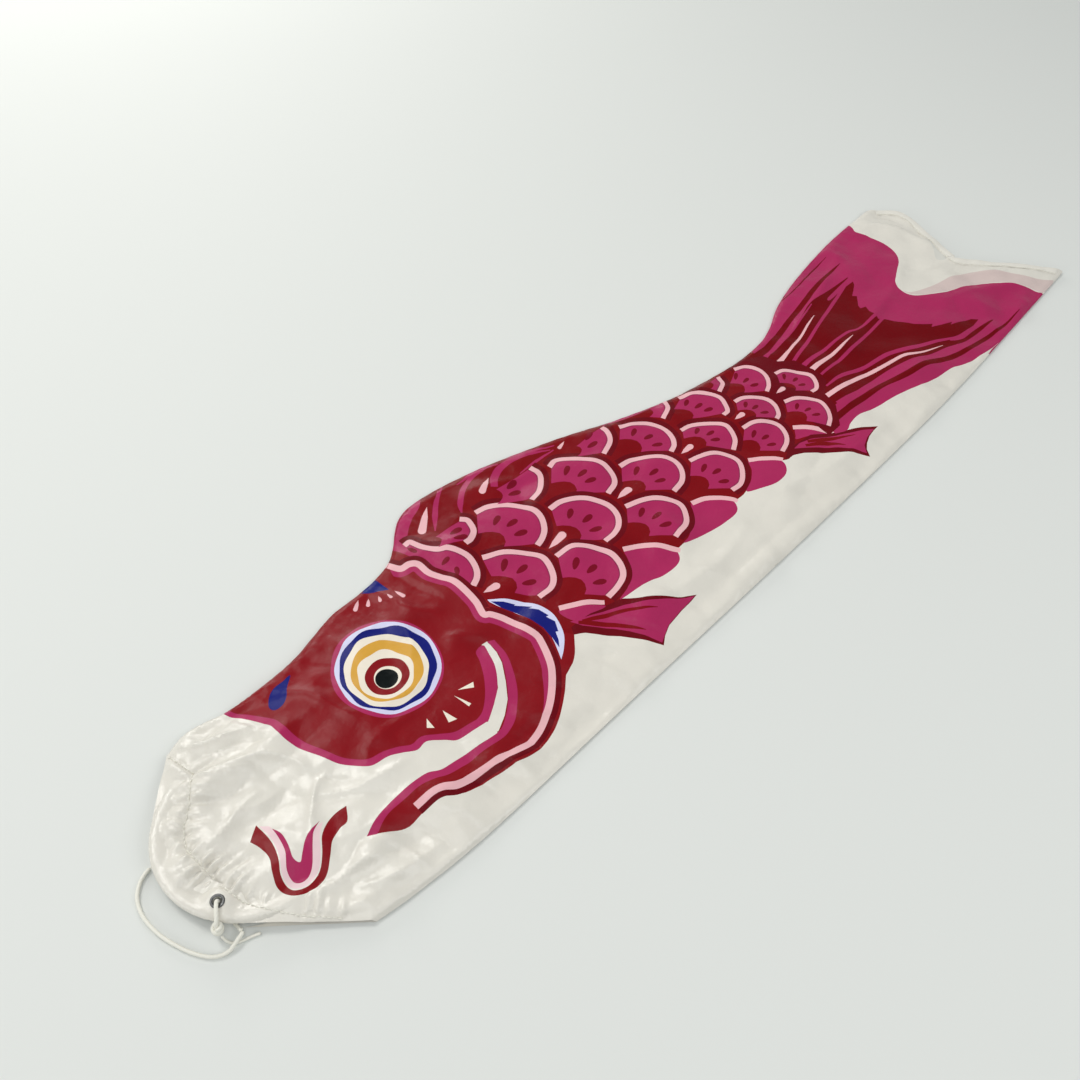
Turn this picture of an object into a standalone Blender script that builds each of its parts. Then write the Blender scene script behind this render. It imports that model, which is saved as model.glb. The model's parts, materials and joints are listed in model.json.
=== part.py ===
"""Carp streamer of printed polyester, about a metre long, lying flat on its side.

Lengths are written in millimetres and turned into metres by MM when a mesh is made.
Outlines are drawn in the cloth's own plan: x runs from the mouth to the tail and y from the
belly seam to the back. place() moves the plan so that the origin is the middle of its box.
"""
import math

import bmesh
import bpy
from mathutils import Matrix, Vector

MM = 0.001

# ---- clearances and cloth -------------------------------------------------------------
GAP = 0.3                   # between pieces that touch on the real streamer
CLOTH = 1.0                 # thickness of a side panel's stand-in
FACING = 0.5                # thickness of a folded-in strip of hem
INNER_HEIGHT = 6.0          # space between the two side panels, behind the head

# ---- mouth ----------------------------------------------------------------------------
HOOP_CENTRE = (73.0, 105.0)
HOOP_RADIUS = 62.0          # centre line of the springy rod in the hem
HOOP_ROD = 1.4              # radius of that rod
FERRULE_WALL = 0.6
FERRULE_SPAN = math.radians(16)
FERRULE_AT = math.radians(-20)
HEM_SPACE = 2.6             # inner radius of the cloth channel around the rod
HEM_WALL = 0.6
HEM_SLIT = math.radians(24)
HOOP_LIFT = 6.0             # how far the front of the hoop stands above its rear
FACING_WIDTH = 19.0         # of the hem, inside its channel
REAR_FACING_LOW = 40.269    # plan y of the rear strip's two ends, clear of both seams
REAR_FACING_HIGH = 179.609
STITCH_RADIUS = 0.5
MOUTH_SLOPE_END = 150.0     # plan x where the upper cloth starts down from the hoop
FLAT_START = 235.0          # plan x from where it lies flat
MOUTH_SLOPE_RISE = 11.2     # height of its underside at MOUTH_SLOPE_END
BACK_CORNER = (68.0, 193.0)
BELLY_CORNER = (92.0, -3.0)

# ---- outline --------------------------------------------------------------------------
BACK_EDGE = [
    BACK_CORNER, (82, 197.5), (97, 196.5), (118, 191), (150, 189.5), (180, 191.5), (203, 197),
    (226, 202), (250, 202), (270, 203.5), (289, 208.5), (302, 217.5), (313, 228), (326, 237),
    (343, 240), (371, 237), (409, 228.5), (450, 215.5), (490, 201), (530, 184), (580, 167),
    (620, 158), (665, 151.5), (700, 152), (724, 158), (752, 170.5), (786, 180), (830, 188),
    (870, 193), (905, 195), (942, 195.5),
]
BELLY_EDGE = [
    BELLY_CORNER, (127, -8), (190, -12.5), (330, -13.5), (510, -15), (700, -14.5), (790, -12),
    (862, -8), (994, 0),
]
TAIL_EDGE = [(994, 0), (965, 41), (933, 82), (934, 90), (949, 126), (960, 158), (957, 176), (942, 195.5)]
BODY_FOLD_X = 330.0
TAIL_FOLD_X = 680.0

# ---- seams and tail hem ---------------------------------------------------------------
SEAM_INSET = 1.0
SEAM_WIDTH = 1.2
SEAM_TO_HOOP = 22.0         # where the seams stop short of the hoop's tangent points
TIP_THICKNESS = 1.0         # cloth left where the lower panel runs out beside the hoop
TAIL_HEM_INSET = 1.0
TAIL_HEM_WIDTH = 8.0
TAIL_HEM_FROM_Y = 10.0
TAIL_HEM_TO_Y = 186.0

# ---- eyelets and bridle ---------------------------------------------------------------
EYELET_RADIUS = 5.0
EYELET_BARREL = 3.0
EYELET_BORE = 2.4
EYELET_FLANGE = 0.6
FRONT_EYELET_ANGLE = math.radians(213.068)
FRONT_EYELET_FROM_HOOP = 8.302      # inside the rod's centre line
REAR_EYELET_ANGLE = math.radians(33)
REAR_EYELET_FROM_HOOP = 14.0
CORD = 1.4                  # radius of the bridle cord
TAIL_CORD = 1.0             # radius of its unravelled free end
FRONT_PASS = (28.0, 52.0, 3.9)      # where the cord comes out from under the cloth
REAR_PASS = (10.5, 131.6, 1.6)      # where it goes back under the rim
PASS_GAP = 1.75             # room for the loop's end to turn beside the leads

# ---- derived heights and radii --------------------------------------------------------
HEM_RADIUS = HEM_SPACE + HEM_WALL
RIM = HOOP_RADIUS + HEM_RADIUS
UPPER_FLAT = CLOTH + INNER_HEIGHT
RIM_TOP = 2 * HEM_RADIUS + HOOP_LIFT
RIM_FRONT_X = HOOP_CENTRE[0] - RIM


# ---- plan geometry --------------------------------------------------------------------
def smooth(points, per_span=6):
    """A Catmull-Rom curve through points of any dimension, as a list of tuples."""
    vectors = [Vector(point) for point in points]
    vectors = [2 * vectors[0] - vectors[1]] + vectors + [2 * vectors[-1] - vectors[-2]]
    curve = []
    for i in range(1, len(vectors) - 2):
        a, b, c, d = vectors[i - 1 : i + 3]
        for step in range(per_span):
            t = step / per_span
            curve.append(
                0.5 * (2 * b + (c - a) * t + (2 * a - 5 * b + 4 * c - d) * t**2
                       + (3 * b - a - 3 * c + d) * t**3)
            )
    curve.append(vectors[-2])
    return [tuple(point) for point in curve]


BACK = smooth(BACK_EDGE, 3)
BELLY = smooth(BELLY_EDGE, 3)
TAIL = smooth(TAIL_EDGE, 3)
MIDDLE = Vector((
    (RIM_FRONT_X + max(x for x, _ in TAIL)) / 2,
    (min(y for _, y in BELLY) + max(y for _, y in BACK)) / 2,
    0.0,
))


def edge_between(edge, low, high):
    """The points of an edge from plan x low to high, with both ends worked out."""
    def at(x):
        for (x0, y0), (x1, y1) in zip(edge, edge[1:]):
            if x0 <= x <= x1 and x1 > x0:
                return (x, y0 + (y1 - y0) * (x - x0) / (x1 - x0))
        return edge[0] if x < edge[0][0] else edge[-1]

    inside = [point for point in edge if low + 0.5 < point[0] < high - 0.5]
    return [at(max(low, edge[0][0]))] + inside + [at(min(high, edge[-1][0]))]


def on_circle(radius, angle):
    return (HOOP_CENTRE[0] + radius * math.cos(angle), HOOP_CENTRE[1] + radius * math.sin(angle))


FRONT_EYELET = on_circle(HOOP_RADIUS - FRONT_EYELET_FROM_HOOP, FRONT_EYELET_ANGLE)


def arc(radius, start, end, steps):
    return [on_circle(radius, start + (end - start) * i / steps) for i in range(steps + 1)]


def tangent_angle(corner, side):
    """The angle at which a straight edge from this corner meets the rim; side is +1 or -1."""
    dx, dy = corner[0] - HOOP_CENTRE[0], corner[1] - HOOP_CENTRE[1]
    return math.atan2(dy, dx) + side * math.acos(RIM / math.hypot(dx, dy))


BACK_TANGENT = tangent_angle(BACK_CORNER, 1)
BELLY_TANGENT = tangent_angle(BELLY_CORNER, -1) + 2 * math.pi


def towards(start, end, distance):
    run = Vector(end) - Vector(start)
    return tuple(Vector(start) + run.normalized() * distance)


def under_upper(x):
    """Height of the upper cloth's underside above the table at this plan x."""
    rise = [
        (RIM_FRONT_X, RIM_TOP + GAP),
        (MOUTH_SLOPE_END, MOUTH_SLOPE_RISE),
        (FLAT_START, UPPER_FLAT),
    ]
    if x >= FLAT_START:
        return UPPER_FLAT
    (x0, z0), (x1, z1) = rise[:2] if x < MOUTH_SLOPE_END else rise[1:]
    return z0 + (z1 - z0) * (x - x0) / (x1 - x0)


# ---- building blocks ------------------------------------------------------------------
def material(name, colour, roughness, metallic=0.0):
    made = bpy.data.materials.new(name)
    made.use_nodes = True
    shader = made.node_tree.nodes["Principled BSDF"]
    shader.inputs["Base Color"].default_value = (*colour, 1.0)
    shader.inputs["Roughness"].default_value = roughness
    shader.inputs["Metallic"].default_value = metallic
    return made


def place(point):
    return (Vector((point[0], point[1], point[2] if len(point) > 2 else 0.0)) - MIDDLE) * MM


def finish(name, shape, look, round_piece=False):
    bmesh.ops.recalc_face_normals(shape, faces=shape.faces)
    mesh = bpy.data.meshes.new(name)
    shape.to_mesh(mesh)
    shape.free()
    if round_piece:
        mesh.shade_smooth()
        mesh.set_sharp_from_angle(angle=math.radians(40))
    made = bpy.data.objects.new(name, mesh)
    made.data.materials.append(look)
    bpy.context.scene.collection.objects.link(made)
    return made


def slab(name, outline, bottom, top, look, breaks=()):
    """A flat piece between the heights bottom(x) and top(x), folded along plan x breaks."""
    shape = bmesh.new()
    shape.faces.new([shape.verts.new((x, y, 0.0)) for x, y in outline])
    for x in breaks:
        geometry = shape.verts[:] + shape.edges[:] + shape.faces[:]
        bmesh.ops.bisect_plane(shape, geom=geometry, plane_co=(x, 0, 0), plane_no=(1, 0, 0))
    raised = bmesh.ops.extrude_face_region(shape, geom=shape.faces[:])
    lifted = {item for item in raised["geom"] if isinstance(item, bmesh.types.BMVert)}
    for vert in shape.verts:
        height = top(vert.co.x) if vert in lifted else bottom(vert.co.x)
        vert.co = place((vert.co.x, vert.co.y, height))
    return finish(name, shape, look)


def offset(line, distance):
    """A line moved sideways, to its left, by a distance."""
    moved = []
    for i, point in enumerate(line):
        before = Vector(line[max(i - 1, 0)])
        after = Vector(line[min(i + 1, len(line) - 1)])
        along = (after - before).normalized()
        moved.append(tuple(Vector(point) + Vector((-along.y, along.x)) * distance))
    return moved


def wall(name, line, top, look):
    """A seam allowance: a thin strip that stands between the panels, left of a line."""
    outer = offset(line, SEAM_INSET)
    inner = offset(line, SEAM_INSET + SEAM_WIDTH)
    shape = bmesh.new()
    rings = []
    for (x0, y0), (x1, y1) in zip(outer, inner):
        rings.append([
            shape.verts.new(place(point)) for point in (
                (x0, y0, CLOTH + GAP), (x1, y1, CLOTH + GAP), (x1, y1, top(x1)), (x0, y0, top(x0)),
            )
        ])
    for first, second in zip(rings, rings[1:]):
        for i in range(4):
            j = (i + 1) % 4
            shape.faces.new((first[i], first[j], second[j], second[i]))
    shape.faces.new(rings[0])
    shape.faces.new(rings[-1])
    return finish(name, shape, look)


def turned(name, profile, centre, look, tilt=0.0, steps=64):
    """A closed profile of (radius, height) pairs spun round a vertical axis, then tilted."""
    shape = bmesh.new()
    ring = [shape.verts.new((radius, 0.0, height)) for radius, height in profile]
    edges = [shape.edges.new((ring[i], ring[(i + 1) % len(ring)])) for i in range(len(ring))]
    bmesh.ops.spin(
        shape, geom=ring + edges, cent=(0, 0, 0), axis=(0, 0, 1), angle=2 * math.pi,
        steps=steps, use_merge=True, use_duplicate=False,
    )
    bmesh.ops.rotate(shape, verts=shape.verts, cent=(0, 0, 0), matrix=Matrix.Rotation(tilt, 3, "Y"))
    for vert in shape.verts:
        vert.co = place(vert.co + Vector(centre))
    return finish(name, shape, look, round_piece=True)


def circle_profile(radius, middle, steps):
    angles = [2 * math.pi * i / steps for i in range(steps)]
    return [(middle + radius * math.cos(a), radius * math.sin(a)) for a in angles]


def cord(name, route, radius, look, radii=None, per_span=4, sides=2):
    """A cord through route, given in plan millimetres; radii swell it at a knot."""
    points = smooth(route, per_span)
    swell = smooth([(value, 0.0) for value in radii], per_span) if radii else None
    curve = bpy.data.curves.new(name, "CURVE")
    curve.dimensions = "3D"
    curve.bevel_depth = radius * MM
    curve.bevel_resolution = sides
    curve.use_fill_caps = True
    spline = curve.splines.new("POLY")
    spline.points.add(len(points) - 1)
    for i, point in enumerate(points):
        spline.points[i].co = (*place(point), 1.0)
        spline.points[i].radius = swell[i][0] / radius if swell else 1.0
    curve.materials.append(look)
    made = bpy.data.objects.new(name, curve)
    bpy.context.scene.collection.objects.link(made)
    return made


def punch(target, centre, radius):
    """A round hole through a panel at a plan point, cut by a hidden cylinder."""
    bpy.ops.mesh.primitive_cylinder_add(
        vertices=24, radius=radius * MM, depth=60 * MM, location=place((*centre, 0.0)))
    cutter = bpy.context.object
    cutter.name = "cutter_" + target.name
    cutter.hide_render = True
    cutter.display_type = "WIRE"
    cut = target.modifiers.new("hole", "BOOLEAN")
    cut.operation = "DIFFERENCE"
    cut.object = cutter


# ---- the streamer's pieces ------------------------------------------------------------
def level(height):
    return lambda x: height


def upper_top(x):
    return under_upper(x) + CLOTH


def wall_top(x):
    return under_upper(x) - GAP


def head_outlines():
    """The plans of the upper and the lower cloth of the head."""
    end = BODY_FOLD_X - GAP
    belly = edge_between(BELLY, BELLY_CORNER[0], end)
    back = list(reversed(edge_between(BACK, BACK_CORNER[0], end)))
    upper = belly + back + arc(RIM, BACK_TANGENT, BELLY_TANGENT, 20)
    tip = math.sqrt((RIM + GAP + TIP_THICKNESS) ** 2 - RIM**2)
    back_tip = towards(on_circle(RIM, BACK_TANGENT), BACK_CORNER, tip)
    belly_tip = towards(on_circle(RIM, BELLY_TANGENT), BELLY_CORNER, tip)

    def angle_of(point):
        return math.atan2(point[1] - HOOP_CENTRE[1], point[0] - HOOP_CENTRE[0])

    notch = arc(RIM + GAP, angle_of(back_tip), angle_of(belly_tip), 28)
    return upper, belly + back + [back_tip] + notch + [belly_tip]


def build_panels(printed):
    upper, lower = head_outlines()
    breaks = (MOUTH_SLOPE_END, FLAT_START)
    panels = {
        "head_panel_upper": slab("head_panel_upper", upper, under_upper, upper_top, printed, breaks),
        "head_panel_lower": slab("head_panel_lower", lower, level(0.0), level(CLOTH), printed),
    }
    spans = {
        "body": (BODY_FOLD_X + GAP, TAIL_FOLD_X - GAP, []),
        "tail": (TAIL_FOLD_X + GAP, TAIL[0][0], TAIL[1:-1]),
    }
    for part, (low, high, end) in spans.items():
        back = edge_between(BACK, low, high)
        outline = edge_between(BELLY, low, high) + end + list(reversed(back))
        for side, bottom in (("upper", UPPER_FLAT), ("lower", 0.0)):
            name = f"{part}_panel_{side}"
            panels[name] = slab(name, outline, level(bottom), level(bottom + CLOTH), printed)
    return panels


def build_seams(white):
    back_tip = towards(on_circle(RIM, BACK_TANGENT), BACK_CORNER, SEAM_TO_HOOP)
    belly_tip = towards(on_circle(RIM, BELLY_TANGENT), BELLY_CORNER, SEAM_TO_HOOP)
    spans = {
        "head": (BACK_CORNER[0], BODY_FOLD_X - GAP),
        "body": (BODY_FOLD_X + GAP, TAIL_FOLD_X - GAP),
        "tail": (TAIL_FOLD_X + GAP, TAIL_EDGE[0][0]),
    }
    short_of_tail = {"back": TAIL_EDGE[-1][0] - 14.0, "belly": TAIL_EDGE[0][0] - 20.0}
    for part, (low, high) in spans.items():
        back = edge_between(BACK, low, min(high, short_of_tail["back"]))
        belly = edge_between(BELLY, max(low, BELLY_CORNER[0]), min(high, short_of_tail["belly"]))
        if part == "head":
            back = [back_tip] + back
            belly = [belly_tip] + belly
        wall(f"{part}_back_seam", list(reversed(back)), wall_top, white)
        wall(f"{part}_belly_seam", belly, wall_top, white)


def build_tail_hem(white):
    """The edge of the open tail, folded in on each panel and cut on the slant."""
    line = [point for point in TAIL if TAIL_HEM_FROM_Y < point[1] < TAIL_HEM_TO_Y]
    near = [(x - TAIL_HEM_INSET, y) for x, y in line]
    far = [(x - TAIL_HEM_INSET - TAIL_HEM_WIDTH, y) for x, y in line]
    outline = near + list(reversed(far))
    for side, bottom in (("upper", UPPER_FLAT - GAP - FACING), ("lower", CLOTH + GAP)):
        slab(f"tail_hem_{side}", outline, level(bottom), level(bottom + FACING), white)


def build_mouth(white, rod, metal, panels):
    tilt = math.asin(HOOP_LIFT / (2 * HOOP_RADIUS))
    centre = (*HOOP_CENTRE, HEM_RADIUS + HOOP_LIFT / 2)
    turned("mouth_hoop", circle_profile(HOOP_ROD, HOOP_RADIUS, 10), centre, rod, tilt)

    half = HEM_SLIT / 2
    sweep = [math.pi + half + (2 * math.pi - HEM_SLIT) * i / 12 for i in range(13)]
    outer = [(HOOP_RADIUS + HEM_RADIUS * math.cos(a), HEM_RADIUS * math.sin(a)) for a in sweep]
    inner = [(HOOP_RADIUS + HEM_SPACE * math.cos(a), HEM_SPACE * math.sin(a)) for a in sweep]
    turned("mouth_hem", outer + inner[::-1], centre, white, tilt, steps=56)
    build_ferrule(centre, tilt, metal)

    inside = RIM - 2 * HEM_RADIUS - GAP
    start, end = BACK_TANGENT + 0.02, BELLY_TANGENT - 0.02
    front = arc(inside, start, end, 16) + arc(inside - FACING_WIDTH, end, start, 16)
    facing_top = wall_top
    hem_front = slab(
        "hem_facing_front", front, lambda x: facing_top(x) - FACING, facing_top, white)
    outer = RIM + GAP + FACING_WIDTH
    rear_arc = [math.asin((y - HOOP_CENTRE[1]) / outer) for y in (REAR_FACING_LOW, REAR_FACING_HIGH)]
    rear = arc(RIM + GAP, *rear_arc, 20) + arc(RIM + GAP + FACING_WIDTH, *reversed(rear_arc), 20)
    hem_rear = slab(
        "hem_facing_rear", rear, level(CLOTH + GAP), level(CLOTH + GAP + FACING), white)

    stitch = arc(inside - FACING_WIDTH + 2.0, start + 0.05, end - 0.05, 12)
    height = CLOTH + GAP + STITCH_RADIUS
    route = [(x, y, under_upper(x) + height) for x, y in stitch]
    cord("hem_stitching", route, STITCH_RADIUS, white, per_span=3)

    rear_eyelet = on_circle(RIM + REAR_EYELET_FROM_HOOP - HEM_RADIUS, REAR_EYELET_ANGLE)
    slope = math.atan2(
        RIM_TOP + GAP - MOUTH_SLOPE_RISE, MOUTH_SLOPE_END - RIM_FRONT_X)
    low = under_upper(FRONT_EYELET[0]) - 2 * GAP - FACING
    eyelet("eyelet_front", FRONT_EYELET, low, low + FACING + 3 * GAP + CLOTH, metal, slope)
    eyelet("eyelet_rear", rear_eyelet, GAP + EYELET_FLANGE, CLOTH + 2 * GAP + FACING, metal)
    for target, where, radius in (
        (panels["head_panel_upper"], FRONT_EYELET, EYELET_BARREL + GAP),
        (hem_front, FRONT_EYELET, EYELET_BARREL + GAP),
        (panels["head_panel_lower"], rear_eyelet, EYELET_RADIUS + GAP),
        (hem_rear, rear_eyelet, EYELET_BARREL + GAP),
    ):
        punch(target, where, radius)
    return rear_eyelet


def build_ferrule(centre, tilt, metal):
    """The crimped tube that joins the rod's two ends, bent to the hoop's curve."""
    shape = bmesh.new()
    bore = HOOP_ROD + GAP
    rings = []
    for i in range(7):
        angle = FERRULE_AT + FERRULE_SPAN * (i / 6 - 0.5)
        turn = Matrix.Rotation(tilt, 3, "Y") @ Matrix.Rotation(angle, 3, "Z")
        ring = []
        for radius in (bore, bore + FERRULE_WALL):
            profile = circle_profile(radius, HOOP_RADIUS, 12)
            points = [turn @ Vector((r, 0.0, z)) + Vector(centre) for r, z in profile]
            ring.append([shape.verts.new(place(point)) for point in points])
        rings.append(ring)
    for first, second in zip(rings, rings[1:]):
        for a, b in zip(first, second):
            for i in range(12):
                j = (i + 1) % 12
                shape.faces.new((a[i], a[j], b[j], b[i]))
    for inner, outer in (rings[0], rings[-1]):
        for i in range(12):
            j = (i + 1) % 12
            shape.faces.new((inner[i], inner[j], outer[j], outer[i]))
    finish("hoop_ferrule", shape, metal, round_piece=True)


def eyelet(name, where, low, high, metal, tilt=0.0):
    """A rolled metal eyelet whose two flanges grip the cloth between heights low and high."""
    middle = (low + high) / 2
    grip = (high - low) / 2
    rim = grip + EYELET_FLANGE
    profile = [
        (EYELET_BORE, -rim * 0.8), (EYELET_BORE + 0.4, -rim), (EYELET_RADIUS - 0.5, -rim),
        (EYELET_RADIUS, -grip), (EYELET_BARREL, -grip), (EYELET_BARREL, grip),
        (EYELET_RADIUS, grip), (EYELET_RADIUS - 0.5, rim), (EYELET_BORE + 0.4, rim),
        (EYELET_BORE, rim * 0.8),
    ]
    return turned(name, profile, (*where, middle), metal, tilt, steps=28)


def build_bridle(rear_eyelet, white):
    start = towards(FRONT_PASS, (28.0, 59.0, 2.6), PASS_GAP)
    lead_front = [
        start, (28, 55.5, 3.3), (28, 59, 2.6), (28, 64, 1.8), (28, 69, 2.1), (28, 73, 4.0),
        (28, 75.2, 6.8), (28, 75.7, 9.5),
    ]
    cord("bridle_lead_front", lead_front, CORD, white)
    loop = [
        FRONT_PASS, (24, 50.8, 4.0), (20, 49.8, 3.6), (15, 49.3, 2.2), (9.5, 51, 1.6),
        (3.5, 56, 1.6), (-2, 65, 1.6), (-6, 75, 1.6), (-9.5, 87, 1.6), (-11, 99, 1.6),
        (-10.3, 110, 1.6), (-6.5, 120.5, 1.6), (0, 127.5, 1.6), (6, 130.6, 1.6), REAR_PASS,
    ]
    cord("bridle_loop", loop, CORD, white, per_span=3)
    end = towards(REAR_PASS, (24.0, 130.6, 1.6), PASS_GAP)
    rx, ry = rear_eyelet
    lead_rear = [
        end, (24, 130.6, 1.6), (40, 129.8, 1.6), (60, 129.6, 1.6), (80, 130.3, 1.6),
        (94, 131.4, 2.0), (104, 132.8, 3.6), (112, 134.4, 6.0), (119, 136.4, 8.2),
        (125, 139, 9.0), (rx - 6.5, ry - 4.1, 8.7), (rx - 3.6, ry - 2.2, 8.0),
    ]
    cord("bridle_lead_rear", lead_rear, CORD, white, per_span=3)

    ex, ey = FRONT_EYELET
    run = Vector((17.7 - ex, 63.4 - ey)).normalized()
    hitch = [(0, 10), (0, 12.4), (0.2, 14.6), (1.8, 16.5), (5, 17.1), (9.5, 16.8), (13.6, 15.3),
             (15.6, 12.4), (16.2, 9.6), (16.1, 7.4), (16.0, 5.2)]
    swell = [1.4, 1.4, 1.4, 1.4, 1.5, 1.5, 1.4, 1.6, 3.0, 3.3, 2.0]
    route = [(ex + run.x * along, ey + run.y * along, z) for along, z in hitch]
    cord("bridle_knot_front", route, CORD, white, radii=swell, per_span=3, sides=3)
    knot = [(rx, ry, z) for z in (0.8, 2.4, 4.0, 5.6, 7.2, 8.8, 9.6)]
    cord("bridle_knot_rear", knot, CORD, white, radii=[1.2, 1.3, 1.8, 2.6, 2.9, 2.2, 1.2],
         per_span=3, sides=3)
    tail = [(16.9, 59.3, 4.4), (17, 57.6, 2.7), (17.8, 55, 1.4), (20, 51.6, 1.1), (24.5, 49, 1.1),
            (30, 47, 1.1), (35.6, 44.6, 1.1)]
    cord("bridle_tail_front", tail, TAIL_CORD, white)


def main():
    for leftover in list(bpy.data.objects):
        bpy.data.objects.remove(leftover, do_unlink=True)
    printed = material("printed_cloth", (0.60, 0.05, 0.12), 0.45)
    white = material("white_cloth", (0.86, 0.86, 0.82), 0.5)
    rod = material("hoop_rod", (0.80, 0.80, 0.78), 0.4)
    metal = material("eyelet_metal", (0.20, 0.20, 0.21), 0.3, 1.0)
    panels = build_panels(printed)
    build_seams(white)
    build_tail_hem(white)
    rear_eyelet = build_mouth(white, rod, metal, panels)
    build_bridle(rear_eyelet, white)


main()
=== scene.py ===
"""Carp streamer of printed polyester lying flat on its side: the looks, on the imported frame.

Lengths are in millimetres in the cloth's own plan, x from the mouth to the tail and y from the
belly to the back, with z up from the surface. place() turns them into the frame's metres.
The camera, the lights and the textures of the materials are in metres.
"""
import json
import math

import bmesh
import bpy
import numpy as np
from mathutils import Matrix, Vector, noise
from mathutils.geometry import delaunay_2d_cdt


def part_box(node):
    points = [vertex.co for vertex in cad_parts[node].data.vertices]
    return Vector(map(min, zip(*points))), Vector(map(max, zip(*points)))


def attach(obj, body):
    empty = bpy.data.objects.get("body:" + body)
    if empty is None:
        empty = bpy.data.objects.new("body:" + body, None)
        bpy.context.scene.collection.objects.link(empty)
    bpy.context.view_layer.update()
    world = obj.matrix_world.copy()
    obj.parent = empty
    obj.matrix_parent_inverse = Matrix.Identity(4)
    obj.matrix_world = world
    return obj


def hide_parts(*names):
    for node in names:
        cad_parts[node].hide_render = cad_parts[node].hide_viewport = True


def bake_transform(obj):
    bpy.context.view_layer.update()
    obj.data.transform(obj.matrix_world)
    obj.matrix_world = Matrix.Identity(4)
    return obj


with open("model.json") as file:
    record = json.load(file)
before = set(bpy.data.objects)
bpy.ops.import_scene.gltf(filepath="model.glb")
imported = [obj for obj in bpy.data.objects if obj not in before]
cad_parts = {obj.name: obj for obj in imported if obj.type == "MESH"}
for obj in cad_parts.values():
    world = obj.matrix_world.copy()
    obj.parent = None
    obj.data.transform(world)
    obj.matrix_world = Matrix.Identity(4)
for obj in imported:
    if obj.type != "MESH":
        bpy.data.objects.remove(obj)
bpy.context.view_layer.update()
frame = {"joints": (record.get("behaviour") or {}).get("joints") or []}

MM = 0.001
TURN = 2 * math.pi

# ---- frame ------------------------------------------------------------------------------
JOINTS = {joint["name"]: joint for joint in frame["joints"]}
BODY_FOLD_X = 330.0
TAIL_FOLD_X = 680.0
FRONT_PASS = (28.0, 52.0, 3.9)      # the two ends of the bridle's loop, which it swings about
REAR_PASS = (10.5, 131.6, 1.6)
ORIGIN_X = JOINTS["body_fold"]["pos_m"][0] - BODY_FOLD_X * MM
ORIGIN_Y = JOINTS["bridle_swing"]["pos_m"][1] - REAR_PASS[1] * MM


def place(x, y, z=0.0):
    return Vector((ORIGIN_X + x * MM, ORIGIN_Y + y * MM, z * MM))


# ---- sizes ------------------------------------------------------------------------------
HOOP_CENTRE = (73.0, 105.0)
HOOP_RADIUS = 62.0
HOOP_TILT = math.asin(6.0 / 124.0)
HOOP_HEIGHT = 6.2
ROD_RADIUS = 1.4
HEM_RADIUS = 3.2            # outside of the cloth channel around the rod
RIM = HOOP_RADIUS + HEM_RADIUS
FACING_WIDTH = 19.0
CORD_RADIUS = 1.4
TAIL_CORD_RADIUS = 1.0
PASS_GAP = 1.75             # between the loop's ends and the leads that carry it on
FRONT_EYELET = (28.0, 75.7)
EYELET_BORE = 3.2
SPLIT_X = 505.0             # where the side cloths are cut into a front and a rear piece
FRONT_FOLD = ("head", "body", BODY_FOLD_X)
REAR_FOLD = ("body", "tail", TAIL_FOLD_X)
GRID = 3.3
CURVE_STEP = 2.0
LOWER_Z = 0.78              # mean height of the lower cloth
EDGE_Z = 1.3                # height of the upper cloth at its seams
LEAST_Z = 1.15              # and nowhere lower than this, above the lower cloth
MOST_Z = 20.0

# ---- colours, linear --------------------------------------------------------------------
CRIMSON = (0.228, 0.0012, 0.0055)
# the body's crimson print, a little darker than the head's with painted shade
SHADED_BODY_CRIMSON = (0.198, 0.0008, 0.0040)
MAROON = (0.135, 0.0008, 0.0060)
# the tail's crimson print, darkened with painted shade
SHADED_TAIL_CRIMSON = (0.150, 0.0004, 0.0032)
SEED = (0.185, 0.0012, 0.014)
PLUM = (0.240, 0.018, 0.075)
MAGENTA = (0.390, 0.018, 0.098)
PINK = (0.800, 0.450, 0.480)
BLUSH = (0.800, 0.600, 0.620)
NAVY = (0.006, 0.010, 0.165)
LAVENDER = (0.640, 0.640, 0.840)
GOLD = (0.660, 0.350, 0.050)
CREAM = (0.840, 0.760, 0.640)
BLACK = (0.001, 0.003, 0.003)
WHITE = (0.735, 0.703, 0.633)
HEM_WHITE = (0.77, 0.74, 0.67)
ROSE_WHITE = (0.640, 0.520, 0.490)
# grey white of the painted shade along the tail's notch
NOTCH_SHADE_GREY = (0.650, 0.640, 0.590)
# the grey is painted shade in the cord's hollows, the light colour the fibres
CORD_HOLLOW_SHADE, CORD_FIBRE = (0.72, 0.70, 0.61), (0.90, 0.885, 0.80)
FLOOR = (0.72, 0.735, 0.71)
SKY = (0.80, 0.83, 0.83)


def linked(name, data):
    """A new object for the data, in the scene."""
    thing = bpy.data.objects.new(name, data)
    bpy.context.scene.collection.objects.link(thing)
    return thing


# ---- camera -----------------------------------------------------------------------------
CAMERA_AT = (-0.52416, -0.37434, 0.73764)
CAMERA_RIGHT = (0.69527, -0.71875, 0.0)
CAMERA_AHEAD = (0.44250, 0.42805, -0.78801)
# the photo camera's place in the plan, in millimetres
VIEWPOINT = (-23.3, -261.9, 737.6)


def make_camera():
    data = bpy.data.cameras.new("camera")
    data.lens = 38.33
    data.sensor_width = 36.0
    data.clip_start = 0.02
    data.dof.use_dof = False
    camera = linked("camera", data)
    right, ahead = Vector(CAMERA_RIGHT).normalized(), Vector(CAMERA_AHEAD).normalized()
    turn = Matrix((right, right.cross(ahead), -ahead)).transposed().to_4x4()
    camera.matrix_world = Matrix.Translation(CAMERA_AT) @ turn
    bpy.context.scene.camera = camera


make_camera()


# ---- materials --------------------------------------------------------------------------
WEAVE_PITCH = 0.00042       # metres between threads


def new_material(name):
    material = bpy.data.materials.new(name)
    material.use_nodes = True
    nodes = material.node_tree.nodes
    return material, nodes, material.node_tree.links, nodes["Principled BSDF"]


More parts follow.
